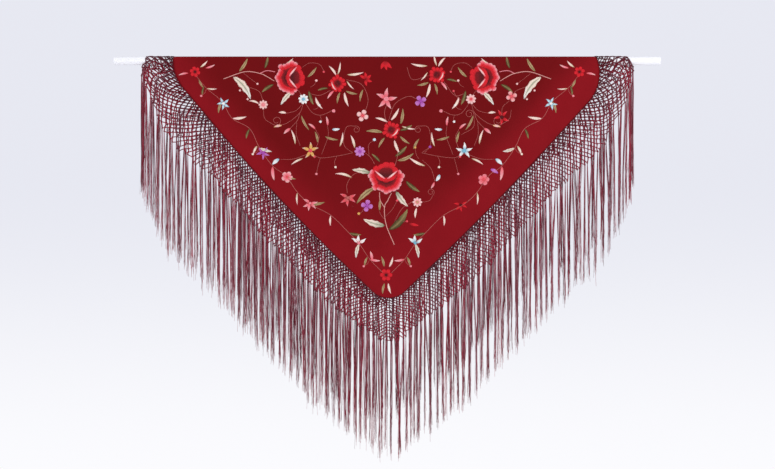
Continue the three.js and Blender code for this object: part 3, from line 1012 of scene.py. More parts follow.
@dataclass
class Fringe:
    """The loose yarns that hang from the net's last knots, drawn together in hanks."""

    net: Net
    length: float = 407.0
    yarns: int = 12
    steps: int = 10
    yarn_radius: float = 0.68
    hank_sizes: tuple[int, ...] = (1, 2, 2, 3)
    near_fold: int = 14
    left: Pull = Pull(0.12, 0.78, 2.8)
    right: Pull = Pull(0.55, 1.2, 2.2)
    ragged: Point = (9.0, 17.0)
    short_share: float = 0.3
    short: Point = (10.0, 130.0)
    black_share: float = 0.16
    highlight_share: float = 0.2
    red_share: float = 0.22
    # Pale pink yarns stand in for light on the silk: a painted highlight.
    pale: Colour = linear(186, 138, 148)
    seed: int = 77

    def _hanks(self, dice: np.random.Generator, own: Array, by: Pull) -> tuple[Array, Array]:
        """Draws strands together in hanks.

        Args:
            dice: The edge's random numbers.
            own: Where each strand would hang by itself.
            by: How far they are drawn.

        Returns:
            Each strand's hank, and where it hangs in it.
        """
        pairs = len(own)
        sizes = dice.choice(self.hank_sizes, pairs)
        sizes[: self.near_fold] = np.where(sizes == 3, 1, sizes)[: self.near_fold]
        hank = np.repeat(np.arange(pairs), sizes)[:pairs]
        middle = np.array([own[hank == h].mean() for h in hank])
        pull = dice.uniform(by.least, by.most, pairs)[hank] + dice.normal(0.0, 0.2, pairs)
        return hank, lerp(own, middle, np.clip(pull, 0.0, 1.0))

    def _tints(self, dice: np.random.Generator, strands: Array) -> Array:
        """Each yarn's colour: its string's own, black, red, or pale pink as a painted highlight.
        """
        each = (*strands.shape[:-1], self.yarns, 1)
        own = strands[:, None] * dice.uniform(0.7, 1.5, each)
        roll = dice.uniform(0.0, 1.0, each)
        black, pale = self.black_share, self.black_share + self.highlight_share
        tint = np.where(roll > 1.0 - self.red_share, np.array(self.net.red), own)
        # Pale pink yarns: a painted highlight.
        tint = np.where((roll > black) & (roll < pale), np.array(self.pale), tint)
        return np.where(roll < black, 0.6 * np.array(self.net.black), tint)

    def build(self, face: Face, side: Side, yarn: bpy.types.Material) -> bpy.types.Object:
        """Makes the fringe of one edge.

        Args:
            face: Which half.
            side: Which side of it.
            yarn: Its finish.

        Returns:
            The fringe.
        """
        net, hang = self.net, self.net.hang
        across, down = net.lay_strings()
        mine = net.strings_of(face, side)
        dice = np.random.default_rng(self.seed + 10 * QUARTERS.index((face, side)))
        one, each = (len(mine), 1, 1), (len(mine), self.yarns, 1)
        own = net.reach_down((mine + 0.5) * net.spacing, np.ones(len(mine)))[0]
        root_a, root_d = across[mine, -1].reshape(one), np.abs(down[mine, -1]).reshape(one)
        by = self.right if side is Side.RIGHT else self.left
        hank, goal = self._hanks(dice, own, by)
        drift = goal.reshape(one) - root_a
        sway = dice.normal(0.0, 1.6, len(mine))[hank].reshape(one)
        spread = dice.normal(0.0, 1.0, each) * dice.uniform(1.0, by.loosest, one)
        q = np.linspace(0.0, 1.0, self.steps + 1)
        phase = dice.uniform(0.0, 2.0 * math.pi, (*each[:2], 2, 1))
        turns = dice.uniform(0.6, 1.7, (*each[:2], 2, 1))
        curl = np.sin(2.0 * math.pi * turns * q + phase) - np.sin(phase)
        ragged = sum(dice.normal(0.0, by, shape) for by, shape in zip(self.ragged, (one, each)))
        short = (dice.uniform(0.0, 1.0, each) < self.short_share) * dice.uniform(*self.short, each)
        a = root_a + drift * smooth(q * 1.4) + sway * q
        a = a + spread * np.minimum(0.3 + 4.0 * q, 1.1 - 0.35 * q)
        a = a + curl[:, :, 0] * (0.25 + q**2 + 1.6 * q**5)
        d = root_d + (self.length + ragged - short) * q
        lift = curl[:, :, 1] * (0.3 + 1.4 * q) + dice.normal(0.0, 1.3, each) * q
        points = hang.place(a, face.value * d, lift).reshape(-1, len(q), 3)
        normals = np.broadcast_to(np.array([0.0, -face.value, 0.0]), points.shape)
        radii = self.yarn_radius * METRES * (1.0 - 0.3 * q) * np.ones((len(points), 1))
        tints = self._tints(dice, net.tints[mine]).reshape(-1, 1, 3) * (1.0 + 0.2 * q)[:, None]
        parts = MeshParts()
        add_cords(parts, points, normals, radii, 3, tints)
        return parts.build(f"fringe_{face.name.lower()}_{side.name.lower()}_yarns", yarn)


# ---- the embroidery


class Tint(Enum):
    """The silk colours that the flowers are sewn in."""

    MAROON = linear(82, 6, 12)
    WINE = linear(116, 10, 18)
    DEEP = linear(132, 10, 18)
    SCARLET = linear(214, 26, 38)
    CORAL = linear(232, 80, 90)
    PINK = linear(242, 142, 150)
    PALE = linear(246, 196, 190)
    CREAM = linear(246, 224, 204)
    WHITE = linear(244, 240, 234)
    SKY = linear(122, 184, 204)
    ICE = linear(206, 226, 232)
    VIOLET = linear(168, 74, 168)
    LILAC = linear(206, 130, 196)
    GOLD = linear(222, 168, 92)
    SAND = linear(196, 164, 120)
    OLIVE = linear(150, 132, 84)
    MOSS = linear(82, 68, 34)
    FERN = linear(122, 138, 104)
    RUST = linear(192, 104, 98)
    BLUSH = linear(226, 160, 150)


def silks(names: str) -> Array:
    """The colours of silks whose names a dash joins, one in a row."""
    return np.array([Tint[name.upper()].value for name in names.split("-")])


class Profile(Enum):
    """How a sewn blade's width runs from its root to its tip."""

    LEAF = "leaf"
    POINT = "point"
    ROUND = "round"
    FAN = "fan"

    def width(self, t: Array) -> Array:
        """The share of the full width, at that share of the length."""
        if self is Profile.LEAF:
            shape = np.sin(math.pi * t**0.85) ** 0.9
        elif self is Profile.POINT:
            shape = np.sin(math.pi * t**0.6) ** 1.15
        elif self is Profile.ROUND:
            shape = np.sqrt(np.maximum(1.0 - (2.0 * t**1.25 - 1.0) ** 2, 0.0))
        else:
            bend = np.clip((t - 0.74) / 0.26, 0.0, 1.0)
            shape = (0.42 + 0.66 * t) * np.sqrt(np.maximum(1.0 - bend**2, 0.0))
        return np.maximum(shape, 0.05)


@dataclass(frozen=True)
class Blade:
    """One satin-stitched leaf or petal. Sizes are in millimetres and angles in degrees.

    An angle of 0 points along the rod to the right, and 90 points down the cloth. Its tones
    are names of silks, from its root to its tip.
    """

    across: float
    down: float
    length: float
    turn: float
    width: float
    tones: str
    profile: Profile = Profile.LEAF
    bend: float = 0.0
    vein: str = ""
    teeth: float = 0.0
    height: float = 0.9
    base: float = 0.25


@dataclass
class Stitching:
    """Sews blades, dots and stems onto the hanging cloth, as raised satin stitch."""

    hang: Hang
    parts: MeshParts = field(default_factory=MeshParts)
    along: int = 9
    over: int = 6
    sunk: float = 0.35
    vein_width: float = 0.26
    curl_turn: float = 2.5 * math.pi

    def _lens(
        self, a: Array, d: Array, lift: Array, floor: float, tint: Array, place: Array
    ) -> None:
        """Adds a closed patch: a raised top over a flat underside that share their rim."""
        n, m = a.shape
        top = self.hang.place(a, d, lift).reshape(-1, 3)
        under = self.hang.place(a, d, floor)[1:-1, 1:-1].reshape(-1, 3)
        grid = np.arange(n * m).reshape(n, m)
        low = grid.copy()
        low[1:-1, 1:-1] = n * m + np.arange((n - 2) * (m - 2)).reshape(n - 2, m - 2)
        tops = np.stack([grid[:-1, :-1], grid[:-1, 1:], grid[1:, 1:], grid[1:, :-1]], -1)
        lows = np.stack([low[:-1, :-1], low[1:, :-1], low[1:, 1:], low[:-1, 1:]], -1)
        tint = np.concatenate([tint.reshape(-1, 3), tint[1:-1, 1:-1].reshape(-1, 3)])
        place = np.concatenate([place.reshape(-1, 2), place[1:-1, 1:-1].reshape(-1, 2)])
        self.parts.add(np.concatenate([top, under]), tint, place * METRES, tops, lows)

    def sew(self, blade: Blade) -> None:
        """Sews one leaf or petal."""
        t = np.linspace(0.0, 1.0, self.along)[:, None]
        u = np.linspace(-1.0, 1.0, self.over + 1)[None, :]
        angle = math.radians(blade.turn)
        ahead = np.array([math.cos(angle), math.sin(angle)])
        aside = np.array([-ahead[1], ahead[0]])
        sway = 4.0 * blade.bend * blade.length * t * (1.0 - t)
        notches = np.where(np.arange(self.along) % 2, 1.0, -1.0)[:, None]
        half = blade.width / 2.0 * blade.profile.width(t) * (1.0 + blade.teeth * notches)
        slope = 4.0 * blade.bend * (1.0 - 2.0 * t)
        x = blade.length * t - u * half * slope / np.sqrt(1.0 + slope**2)
        y = sway + u * half / np.sqrt(1.0 + slope**2)
        a = blade.across + x * ahead[0] + y * aside[0]
        d = blade.down + x * ahead[1] + y * aside[1]
        dome = np.sqrt(np.maximum(1.0 - np.abs(u) ** 2.2, 0.0)) * np.sin(math.pi * t) ** 0.35
        floor = self.hang.wall / 2.0 - self.sunk
        lift = floor + blade.base + blade.height * dome
        lift[[0, -1], :] = floor
        lift[:, [0, -1]] = floor
        tones = silks(blade.tones)
        stops = np.linspace(0.0, 1.0, len(tones))
        flat_t = np.broadcast_to(t, a.shape)
        tint = np.stack([np.interp(flat_t, stops, tones[:, i]) for i in range(3)], -1)
        if blade.vein:
            line = np.exp(-((u / self.vein_width) ** 2))
            line = line * smooth((1.0 - t) * 5.0) * smooth(t * 6.0)
            tint = lerp(tint, silks(blade.vein)[0], line[..., None] * 0.85)
        place = np.stack(np.broadcast_arrays(u * half + blade.across, x + blade.down), -1)
        self._lens(a, d, lift, floor, tint, place)

    def oval(
        self, middle: Point, size: Point, turn: float, tones: str, base: float, height: float = 0.6
    ) -> None:
        """Sews a filled oval.

        Args:
            middle: Its middle.
            size: Its length and width.
            turn: The way its length points, in degrees.
            tones: Its silks.
            base: How far it stands off the cloth.
            height: How much higher its middle is.
        """
        a, d = polar(middle, -size[0] / 2.0, turn)
        form = Profile.ROUND
        self.sew(Blade(a, d, size[0], turn, size[1], tones, form, base=base, height=height))

    def dot(self, middle: Point, size: float, tone: str, base: float) -> None:
        """Sews a small round dot."""
        self.oval(middle, (size, size), 0.0, f"{tone}-{tone}", base, 0.9)

    def stem(self, knots: Array, width: float, tone: str, curl: float = 0.0) -> None:
        """Sews a stem stitched line.

        Args:
            knots: Across and down of each place that it passes.
            width: Its width.
            tone: Its silk.
            curl: Radius of a spiral at its end; minus turns the other way.
        """
        if len(knots) == 2:
            knots = np.array([knots[0], knots.mean(axis=0), knots[1]])
        ends = np.concatenate([[2 * knots[0] - knots[1]], knots, [2 * knots[-1] - knots[-2]]])
        t = np.linspace(0.0, 1.0, 9)[:-1, None]
        runs = [
            p1 + 0.5 * ((p2 - p0) * t + (2 * p0 - 5 * p1 + 4 * p2 - p3) * t**2
                        + (3 * p1 - p0 - 3 * p2 + p3) * t**3)
            for p0, p1, p2, p3 in zip(ends, ends[1:], ends[2:], ends[3:])
        ]
        path = np.concatenate([*runs, knots[-1:]])
        if curl:
            ahead = path[-1] - path[-2]
            ahead /= np.linalg.norm(ahead)
            aside = np.array([-ahead[1], ahead[0]]) * math.copysign(1.0, curl)
            w = np.linspace(0.0, self.curl_turn, 26)[1:, None]
            r = abs(curl) * (1.0 - 0.6 * w / w[-1])
            hub = path[-1] + aside * abs(curl)
            path = np.concatenate([path, hub + r * (np.sin(w) * ahead - np.cos(w) * aside)])
        a, d = path[:, 0], path[:, 1]
        middle = self.hang.place(a, d, np.full(len(path), self.hang.wall / 2.0 + 0.05))
        taper = np.minimum(np.linspace(0.0, 6.0, len(path)), 1.0) * 0.3 + 0.7
        radii = (width / 2.0 * METRES * taper)[None]
        add_cords(
            self.parts, middle[None], self.hang.outward(d)[None], radii, 5, silks(tone)[None]
        )


class LeafKind(NamedTuple):
    """A kind of leaf: its silks, its vein, its width as a share of its length, its teeth."""

    tones: str
    vein: str
    share: float
    teeth: float


LEAVES = {
    "cream": LeafKind("cream-cream-white", "fern", 0.26, 0.12),
    "sage": LeafKind("fern-cream-cream", "fern", 0.3, 0.12),
    "blush": LeafKind("pale-cream-pale", "", 0.2, 0.03),
    "olive": LeafKind("olive-sand-olive", "moss", 0.2, 0.08),
    "moss": LeafKind("moss-moss-olive", "olive", 0.26, 0.05),
    "slim": LeafKind("sand-cream-pale", "", 0.15, 0.0),
    "pink": LeafKind("coral-pink-pale", "", 0.24, 0.0),
    "gold": LeafKind("gold-pale-gold", "", 0.3, 0.0),
    "ruby": LeafKind("deep-scarlet-scarlet", "", 0.3, 0.0),
    "purple": LeafKind("violet-lilac-violet", "", 0.34, 0.0),
    "blue": LeafKind("sky-white-ice", "", 0.34, 0.0),
}

BACK_PETAL = "maroon-wine-deep-scarlet-scarlet-scarlet"
FRONT_PETAL = "maroon-maroon-wine-deep-scarlet-scarlet-coral-pink-pale"
RING_PETAL = "wine-deep-scarlet-scarlet-scarlet"


@dataclass(frozen=True)
class Bloom:
    """A flower as it lies on the cloth. What it is made of is given as shares of its radius."""

    sewing: Stitching
    middle: Point
    radius: float
    turn: float = 0.0

    def petal(
        self, far: float, at: float, length: float, way: float, width: float, tones: str,
        form: Profile = Profile.FAN, **more: float,
    ) -> None:
        """Sews a petal.

        Args:
            far: How far its root is from the middle.
            at: The angle of its root round the middle.
            length: Its length.
            way: The angle that it points.
            width: Its width.
            tones: Its silks.
            form: Its profile.
            more: Other fields of a blade.
        """
        r = self.radius
        root = polar(self.middle, far * r, self.turn + at)
        blade = Blade(*root, length * r, self.turn + way, width * r, tones, form, **more)
        self.sewing.sew(blade)

    def heart(self, far: float, size: Point, tones: str, base: float) -> None:
        """Sews the dark oval that a flower opens from."""
        long, wide = (share * self.radius for share in size)
        hub = polar(self.middle, far * self.radius, self.turn)
        self.sewing.oval(hub, (long, wide), self.turn, tones, base)


@dataclass
class Garden:
    """The flowers, leaves and stems that a design is made of, with its sizes in centimetres."""

    sewing: Stitching
    turned: bool = False
    spread: float = 1.0
    flip: bool = False
    lower: float = 0.0

    def at(self, across: float, down: float) -> Point:
        """A place of the design on the cloth, in millimetres."""
        sign = (-10.0 if self.turned else 10.0) * self.spread
        return (-sign if self.flip else sign) * across, sign * (down + self.lower)

    def way(self, turn: float) -> float:
        """An angle of the design, on the cloth."""
        turn = 180.0 - turn if self.flip else turn
        return turn + (180.0 if self.turned else 0.0)

    def drop(self, lower: float) -> None:
        """Sews all that follows that much lower."""
        self.lower = lower

    def rose(self, across: float, down: float, size: float, turn: float) -> None:
        """Sews a rose with two rows of petals and a bowl.

        Args:
            across: Its middle.
            down: Its middle.
            size: Its width.
            turn: The way it opens, in degrees.
        """
        bloom = Bloom(self.sewing, self.at(across, down), size * 5.0, self.way(turn))
        for i, angle in enumerate(np.linspace(-78, 78, 7)):
            long = 0.64 + 0.06 * math.sin(2.1 * i)
            bloom.petal(0.2, angle, long, angle, 0.44, BACK_PETAL, teeth=0.03)
        for i, angle in enumerate((86, 133, 180, 227, 274)):
            for j, aside in enumerate((-14, 14, 0)):
                long = 0.65 + 0.09 * (j == 2) + 0.05 * math.sin(1.7 * i + j)
                way, base = angle + aside, 0.3 + 0.1 * (j == 2)
                bloom.petal(0.26, way, long, way, 0.36, FRONT_PETAL, teeth=0.03, base=base)
        bloom.heart(0.2, (0.72, 0.98), "wine-maroon-wine-deep", 0.8)
        bowl, rim = "scarlet-scarlet-deep", "coral-pink-pale-pale-pink-coral"
        for angle in (136, 224, 180):
            bloom.petal(0.04, 180, 0.3, angle, 0.36, bowl, base=1.1, height=0.6)
        for far, lean, width, tones, bend, base, height in (
            (0.22, 52, 0.34, bowl, 0.07, 1.5, 0.7), (0.14, 51, 0.13, rim, 0.03, 2.0, 0.5),
        ):
            for sign in (-1, 1):
                bloom.petal(far, 180, 0.86, sign * lean, width, tones, Profile.LEAF,
                            bend=sign * bend, base=base, height=height)

    def small_rose(self, across: float, down: float, size: float, turn: float) -> None:
        """Sews a rose with one ring of petals and a rolled lip.

        Args:
            across: Its middle.
            down: Its middle.
            size: Its width.
            turn: The way its lip faces, in degrees.
        """
        bloom = Bloom(self.sewing, self.at(across, down), size * 5.0, self.way(turn))
        for i in range(11):
            long = 0.76 + 0.1 * math.sin(2.3 * i)
            bloom.petal(0.14, 33 * i, long, 33 * i, 0.46, RING_PETAL, teeth=0.05)
        bloom.heart(0.1, (0.56, 0.66), "deep-maroon-wine", 0.7)
        for far, width, tone in ((0.66, 0.44, "scarlet"), (0.74, 0.2, "pale")):
            bloom.petal(far, 122, 1.16, -90, width, f"coral-{tone}-{tone}-coral", Profile.LEAF,
                        bend=-0.13, base=1.6 - width, height=0.6)

    def wheel(
        self, tones: str, heart: str, form: str, petals: float, across: float, down: float,
        size: float, turn: float = 0.0, arc: float = 360.0,
    ) -> None:
        """Sews a flower of petals round a heart.

        Args:
            tones: Silks of a petal, from its root to its tip.
            heart: The silk of its middle.
            form: The petals' profile.
            petals: How many petals.
            across: Its middle.
            down: Its middle.
            size: Its width.
            turn: The way its middle petal points, in degrees.
            arc: How far round the petals go, in degrees.
        """
        bloom = Bloom(self.sewing, self.at(across, down), size * 5.0)
        full, round_petals = arc >= 360.0, Profile(form) is Profile.ROUND
        step, first = (arc / petals, 0.0) if full else (arc / (petals - 1), -arc / 2.0)
        width = min(4.4 / petals, 0.85) if round_petals else 0.4
        for i in range(int(petals)):
            angle = self.way(turn + first + i * step)
            bend = 0.0 if round_petals else 0.07 * (-1) ** i
            bloom.petal(0.12, angle, 0.9, angle, width, tones, Profile(form), bend=bend)
        self.sewing.dot(bloom.middle, (0.5 if full else 0.36) * bloom.radius, heart, 0.7)

    def leaf(
        self, kind: str, across: float, down: float, length: float, turn: float,
        bend: float = 0.06, width: float = 0.0,
    ) -> None:
        """Sews a leaf.

        Args:
            kind: One of the rows of LEAVES.
            across: Its root.
            down: Its root.
            length: Its length.
            turn: The way it points, in degrees.
            bend: How much it bows, as a share of its length.
            width: Its width, where that isn't its kind's own.
        """
        leaf, long = LEAVES[kind], length * 10.0
        self.sewing.sew(Blade(
            *self.at(across, down), long, self.way(turn), width * 10.0 or long * leaf.share,
            leaf.tones, bend=-bend if self.flip else bend, vein=leaf.vein, teeth=leaf.teeth,
        ))

    def ray(
        self, kind: str, across: float, down: float, far: float, length: float, turn: float,
        width: float,
    ) -> None:
        """Sews a leaf that points away from a middle, from a root that far out."""
        self.leaf(kind, *polar((across, down), far, turn), length, turn, width=width)

    def vine(self, tone: str, width: float, curl: float, *places: float) -> None:
        """Sews a stem through places of the design; its width and its curl are in millimetres."""
        knots = np.array([self.at(*place) for place in zip(places[::2], places[1::2])])
        self.sewing.stem(knots, width, tone, -curl if self.flip else curl)

    def berry(self, tone: str, size: float, across: float, down: float, *stalk: float) -> None:
        """Sews a berry.

        Args:
            tone: Its silk.
            size: Its width.
            across: Its middle.
            down: Its middle.
            stalk: Where its stalk starts, if it has one.
        """
        if stalk:
            bow = (across + stalk[0]) / 2 + 0.35, (down + stalk[1]) / 2 + 0.3
            self.vine("rust", 1.2, 0.0, *stalk, *bow, across, down)
        self.sewing.dot(self.at(across, down), size * 10.0, tone, 0.5)

    def follow(self, table: str) -> None:
        """Sews the rows of a table.

        Args:
            table: One row for each thing that is sewn. It has left or right in front where only
                that half has the thing, then the name of one of the methods above, and what
                that method is given. Rows that start with # are titles.
        """
        makers = {
            make.__name__: make
            for make in (self.rose, self.small_rose, self.wheel, self.leaf, self.ray, self.vine,
                         self.berry, self.drop)
        }
        for row in table.strip().splitlines():
            half = "right " if self.flip else "left "
            make, *given = row.removeprefix(half).split()
            if make not in ("#", "left", "right"):
                makers[make](*(float(word) if word[-1].isdigit() else word for word in given))


HALF = """
# the big rose by the fold, its forked stem and its leaves
vine pink 3 0 -46.6 7.2 -44 6.2 -41 6.6
vine blush 3.2 0 -41.2 10 -44 8.3 -46.6 7.2 -52 6.6 -59.8 9.2
leaf cream -56.4 8.4 10.6 52 -0.1
leaf cream -34.6 13.8 6.6 131
leaf moss -41.4 11.2 5.4 146
leaf olive -54.2 6.6 6.2 -58
leaf moss -44.8 5.4 4.8 -76
leaf olive -29.2 8.6 5.2 -48
leaf moss -28.6 13.4 5.6 72
leaf slim -36.8 3.6 3.4 -40
berry pale 0.85 -47.4 11 -52.4 7.2
berry pale 0.85 -53.8 13.4 -52.6 9.6
berry pale 0.85 -51 16.6 -51.4 11
berry pale 1 -25.9 9.8 -28 12.2
vine rust 1.3 0 -31 5 -28.4 3.4 -24.8 3.9 -23.2 6.2
berry coral 0.9 -23.2 6.6
left wheel coral-pale-pale pink round 8 -45.3 18.6 3.5
left leaf blush -46.8 18.4 4 196 0.12
right wheel coral-pale coral round 4 -45.4 15.6 4 20
right wheel deep-scarlet-coral maroon point 5 -41.8 23.2 6 10
right vine rust 1.4 0 -44.6 17.2 -42.2 19.4 -41.8 22.6
vine rust 1.5 0 -50.4 12.2 -46.8 13.8 -45.4 17
vine rust 1.5 -18 -45.3 20.4 -44.6 23.8 -41.4 26
rose -35.2 8.7 12.6 0
# the daisy under the big rose, with buds on stalks
vine rust 1.5 0 -32.4 13.4 -31.4 15.2 -30.9 17.6 -31.8 21.4 -36.4 25.2 -40.6 26.4
vine rust 1.5 0 -31.8 21.4 -33 24.6 -36.4 28.2
vine rust 1.4 0 -31 18.4 -33.4 20.8 -37.2 21.8
vine rust 1.3 0 -33 24.6 -33.2 29.4 -31.8 33.6
vine rust 1.5 0 -30 18 -27.2 21.6 -24 22.4 -20.2 20.8
leaf blush -36.8 21.7 2.9 184 0.06 0.95
leaf gold -38.4 26.2 3.2 168 0.06 1
leaf pink -35.2 27.2 3.4 141 0.06 1.2
leaf olive -31.4 22.4 6.4 62 0.06 0.9
leaf blush -26.2 15.8 5.2 58 0.1
leaf pink -21.8 26.4 3.6 -98 0.06 0.95
leaf pink -26.2 27.6 3.4 -142 0.06 0.9
vine rust 1.3 0 -26.2 27.6 -24.9 30.8 -26.6 36
vine rust 1.3 0 -21.8 26.4 -21.6 30.2 -24 36.8
berry white 0.95 -24.8 18.8 -27 20.4
berry white 1 -24.4 24.8 -24.6 22.4
berry pink 1.35 -19.6 20.9
left wheel sky-white-white sky round 8 -30.6 16.6 3.8 10
right wheel coral-pale-pale coral round 8 -30.6 16.6 3.8 10
# the small rose near the middle, its spray of slim leaves and what stands by it
right drop -3.2
leaf blush -18.6 8 4.6 -128
leaf slim -18.2 7.8 5 -78
leaf slim -14.8 9.8 4.2 50
leaf olive -15.2 13.6 4.6 14
leaf blush -15.6 14 5.6 74
leaf olive -17.2 14 4.4 104
leaf pink -19.4 13.4 4 128
leaf moss -21.6 12.6 4 168
leaf slim -14.8 7.6 6.4 -8
right drop 0
left vine rust 1.5 0 -28.2 14.6 -24.6 15.2 -20.8 13.4
left vine rust 1.6 0 -15.2 9.4 -9.4 11.2 -7 16.6 -8.2 21.6
left wheel coral-pale-pale coral round 4 -9 22.6 4.4 22
left leaf olive -8.8 13 4.8 104 0.06 0.9
left leaf ruby -7.9 9.3 2.6 -150 0.06 1.2
left leaf ruby -7.9 9.3 2.6 -95 0.06 1.2
left leaf ruby -7.9 9.3 2.6 -40 0.06 1.2
left leaf ruby -7.9 9.3 2.6 20 0.06 1.2
left leaf ruby -7.9 9.3 2.6 80 0.06 1.2
right vine rust 1.5 0 -28.2 14.6 -24.6 15.2 -20.8 10.2
right vine rust 1.5 0 -15 8 -9.2 9.4 -7.2 5
right berry coral 0.9 -24.2 13.6 -27 17
right vine rust 1.5 16 -27 29.6 -31.4 26.8 -31.6 22
right drop -3.2
small_rose -18.2 10.9 7 -28
right drop 0
# the star between the big roses and the point, and the stalks about it
vine rust 1.5 0 -39 38.6 -34 38.4 -28.4 36.6 -24.4 38 -18.4 37.4 -12.6 36.2
vine rust 1.3 0 -24.4 38 -25.2 40.8 -25.8 43.4
vine rust 1.3 0 -18.4 37.4 -19.2 39.4 -19 41
vine rust 1.5 13 -12.6 36.2 -15.8 33.2 -15 27 -11.4 26.4
left wheel gold-gold-cream coral point 5 -28.1 35.4 6.4 -90
right wheel sky-white-white sky point 5 -28.1 35.4 6.4 -90
leaf blue -39.4 38.4 3.4 140 0.06 1.5
leaf blue -20.2 27.6 3 -4 0.06 1.1
leaf olive -25.4 32.6 4.4 -104 0.06 0.9
leaf slim -30.6 38.2 5.2 152
leaf slim -17.4 34 5.6 -78
leaf olive -22.8 30.2 5.2 14 0.06 0.9
leaf slim -33.6 33.2 5.8 -106
berry cream 0.95 -18.9 41.4
berry pink 0.95 -25.9 43.9
berry coral 0.9 -26.6 37.6
left wheel violet-lilac-lilac violet round 8 -10 35.7 4
left leaf slim -11.9 34.6 5.2 -107 0.06 1
left vine rust 1.4 0 -8 36.2 -6 38 -4.6 40.4
left vine rust 1.3 0 -6.6 37.4 -6.8 33.4 -4.9 31.6
left berry ice 1.2 -4.7 31.4
right leaf olive -9.6 35 4.6 -118
right berry gold 0.9 -10.2 34.2 -11.6 38.6
right berry violet 1.1 -15.6 34 -13.6 36.4
right leaf blue -19.2 44 3 60 0.06 1.4
right leaf pink -17.2 46.8 2.8 62 0.06 0.9
right leaf slim -14 41 7 -28
right vine rust 1.3 0 -12.8 38.8 -16 42 -17.4 46.6
right wheel violet-lilac violet round 4 -12.2 17.4 4.4 30
right vine rust 1.6 0 -0.4 24.6 -2.8 18.4 -7.6 15.6 -11 16.6
"""

BORDER = """
# the flowers on the long vine above the hem
wheel deep-scarlet-scarlet maroon round 6 -70.2 6.6 4 15
ray slim -70.2 6.6 2.4 3.8 -42 0.8
ray pink -70.2 6.6 4 3.8 -20 0.8
ray pink -70.2 6.6 2.4 3.8 168 0.8
ray olive -70.2 6.6 3 3.8 62 0.8
wheel sky-ice-sky white point 5 -59.8 18.2 5 30
right leaf purple -37.6 42.2 3.4 152 0.06 1.4
right wheel coral-pink coral round 5 -35.2 46 4.2 40
right wheel deep-scarlet-scarlet maroon point 5 -26.8 55.2 5.2 100 220
right wheel sky-white-white sky point 3 -10.2 69.2 6.4 -90 110
left wheel violet-lilac violet point 5 -45.4 36.2 5.2 20
left wheel coral-pink-pale coral round 5 -36.6 45 4.2 12
left wheel coral-pink-pale pink point 5 -28.2 54.6 5.8 100 220
left wheel pale-white-white pink point 3 -10.4 69.2 6.4 -90 110
left wheel deep-scarlet-scarlet maroon round 6 -0.4 80.8 4.6
left ray olive -0.4 80.8 3 4.2 -105 0.9
left ray blush -0.4 80.8 3 4.2 -70 0.9
left ray blush -0.4 80.8 3 4.2 75 0.9
left ray olive -0.4 80.8 3 4.2 100 0.9
left leaf pink -5.6 75.6 3.6 -100 0.06 1.1
"""

MIDDLE = """
# the small rose in the middle, with the lily over it and the bud by the fold
leaf blush 0.2 25 5 198
leaf blush 1.2 24.4 5.6 -56
leaf olive 4.8 25.8 6 -82
leaf slim 5.2 26.4 5.4 12
leaf olive -1.6 28.8 6.4 184
leaf olive 4.6 30 4.8 38
leaf olive -0.8 30.6 4.6 122
leaf blush 2.6 31.4 5.6 68
leaf moss 4.6 28 5 -24
vine rust 1.8 0 -0.2 18.6 -1 21.6 -0.2 25.4
vine rust 1.6 0 3 32.4 3.8 36.6 2.8 41
wheel coral-pink-pale pink point 5 -0.4 16.5 8.2 62
leaf ruby -0.6 2.6 3.6 50 0.06 1.5
leaf ruby -0.6 2.6 3.6 82 0.06 1.5
leaf ruby -0.6 2.6 3.6 118 0.06 1.5
small_rose 1.5 27.9 7.2 -138
# the big rose towards the point, on its forked stem
vine blush 3 0 -2.8 50.6 -2.6 53.4 -1 56.2
vine blush 3.3 0 1.6 50.8 0.2 53.6 -1 56.2 -0.4 62.4 2.6 69.8
leaf sage -6.2 43.6 6.8 190 0.04
leaf olive -4.2 48.8 9.4 139 0.08
leaf sage 3.2 50.2 7.2 52 0.05
leaf moss 6.8 46.4 6.6 38
leaf olive 3.6 39 6.8 -25 0.1
leaf moss -2.6 39.6 4.4 -136 0.04
leaf moss 0.4 64.4 10.6 -48 0.1
leaf sage -0.8 62.8 8.4 197 -0.05
leaf olive -2.8 57.4 4.6 -88 0
leaf slim -12.8 45.4 6.6 193 0.1
leaf moss 2.8 37.6 6 -42 0.05
leaf ruby 7.8 62 4 12 0
vine rust 1.5 0 -6.8 42.8 -11.8 43.8 -14.6 47.4 -14.6 51
wheel rust-coral-pink rust point 5 -14.4 52.6 6.4 90 230
vine rust 1.4 0 -3 57.4 -2.2 59 -0.8 60.6
berry coral 1 3.6 53.6 -0.4 59.2
berry gold 1.1 -10.4 58.4 -8.6 56.4
berry deep 1 -12.6 55.8
wheel violet-lilac violet round 4 -7.4 55.5 4.4 12
wheel coral-pale-pale sand round 8 11 54.2 3.6
leaf blush 10.8 56.2 4 98 0.06 0.9
vine rust 1.5 0 2.6 61.4 5.4 56.6 9.2 54
vine rust 1.5 -13 12.8 54.2 15.4 53.6 17 51.2
berry coral 0.9 7.2 61.2 3.2 61
rose -0.4 45 13.4 -90
"""

VINE_PATH = (
    (-70.2, 7.6), (-66, 12.6), (-60.4, 17.4), (-56.6, 23.6), (-50.2, 27.4), (-46.6, 34.4),
    (-41.8, 41), (-37, 44.6), (-32.8, 50.6), (-28, 55), (-20.6, 59), (-14, 65.4), (-10.2, 69.4),
    (-6.4, 75), (-1.6, 80),
)


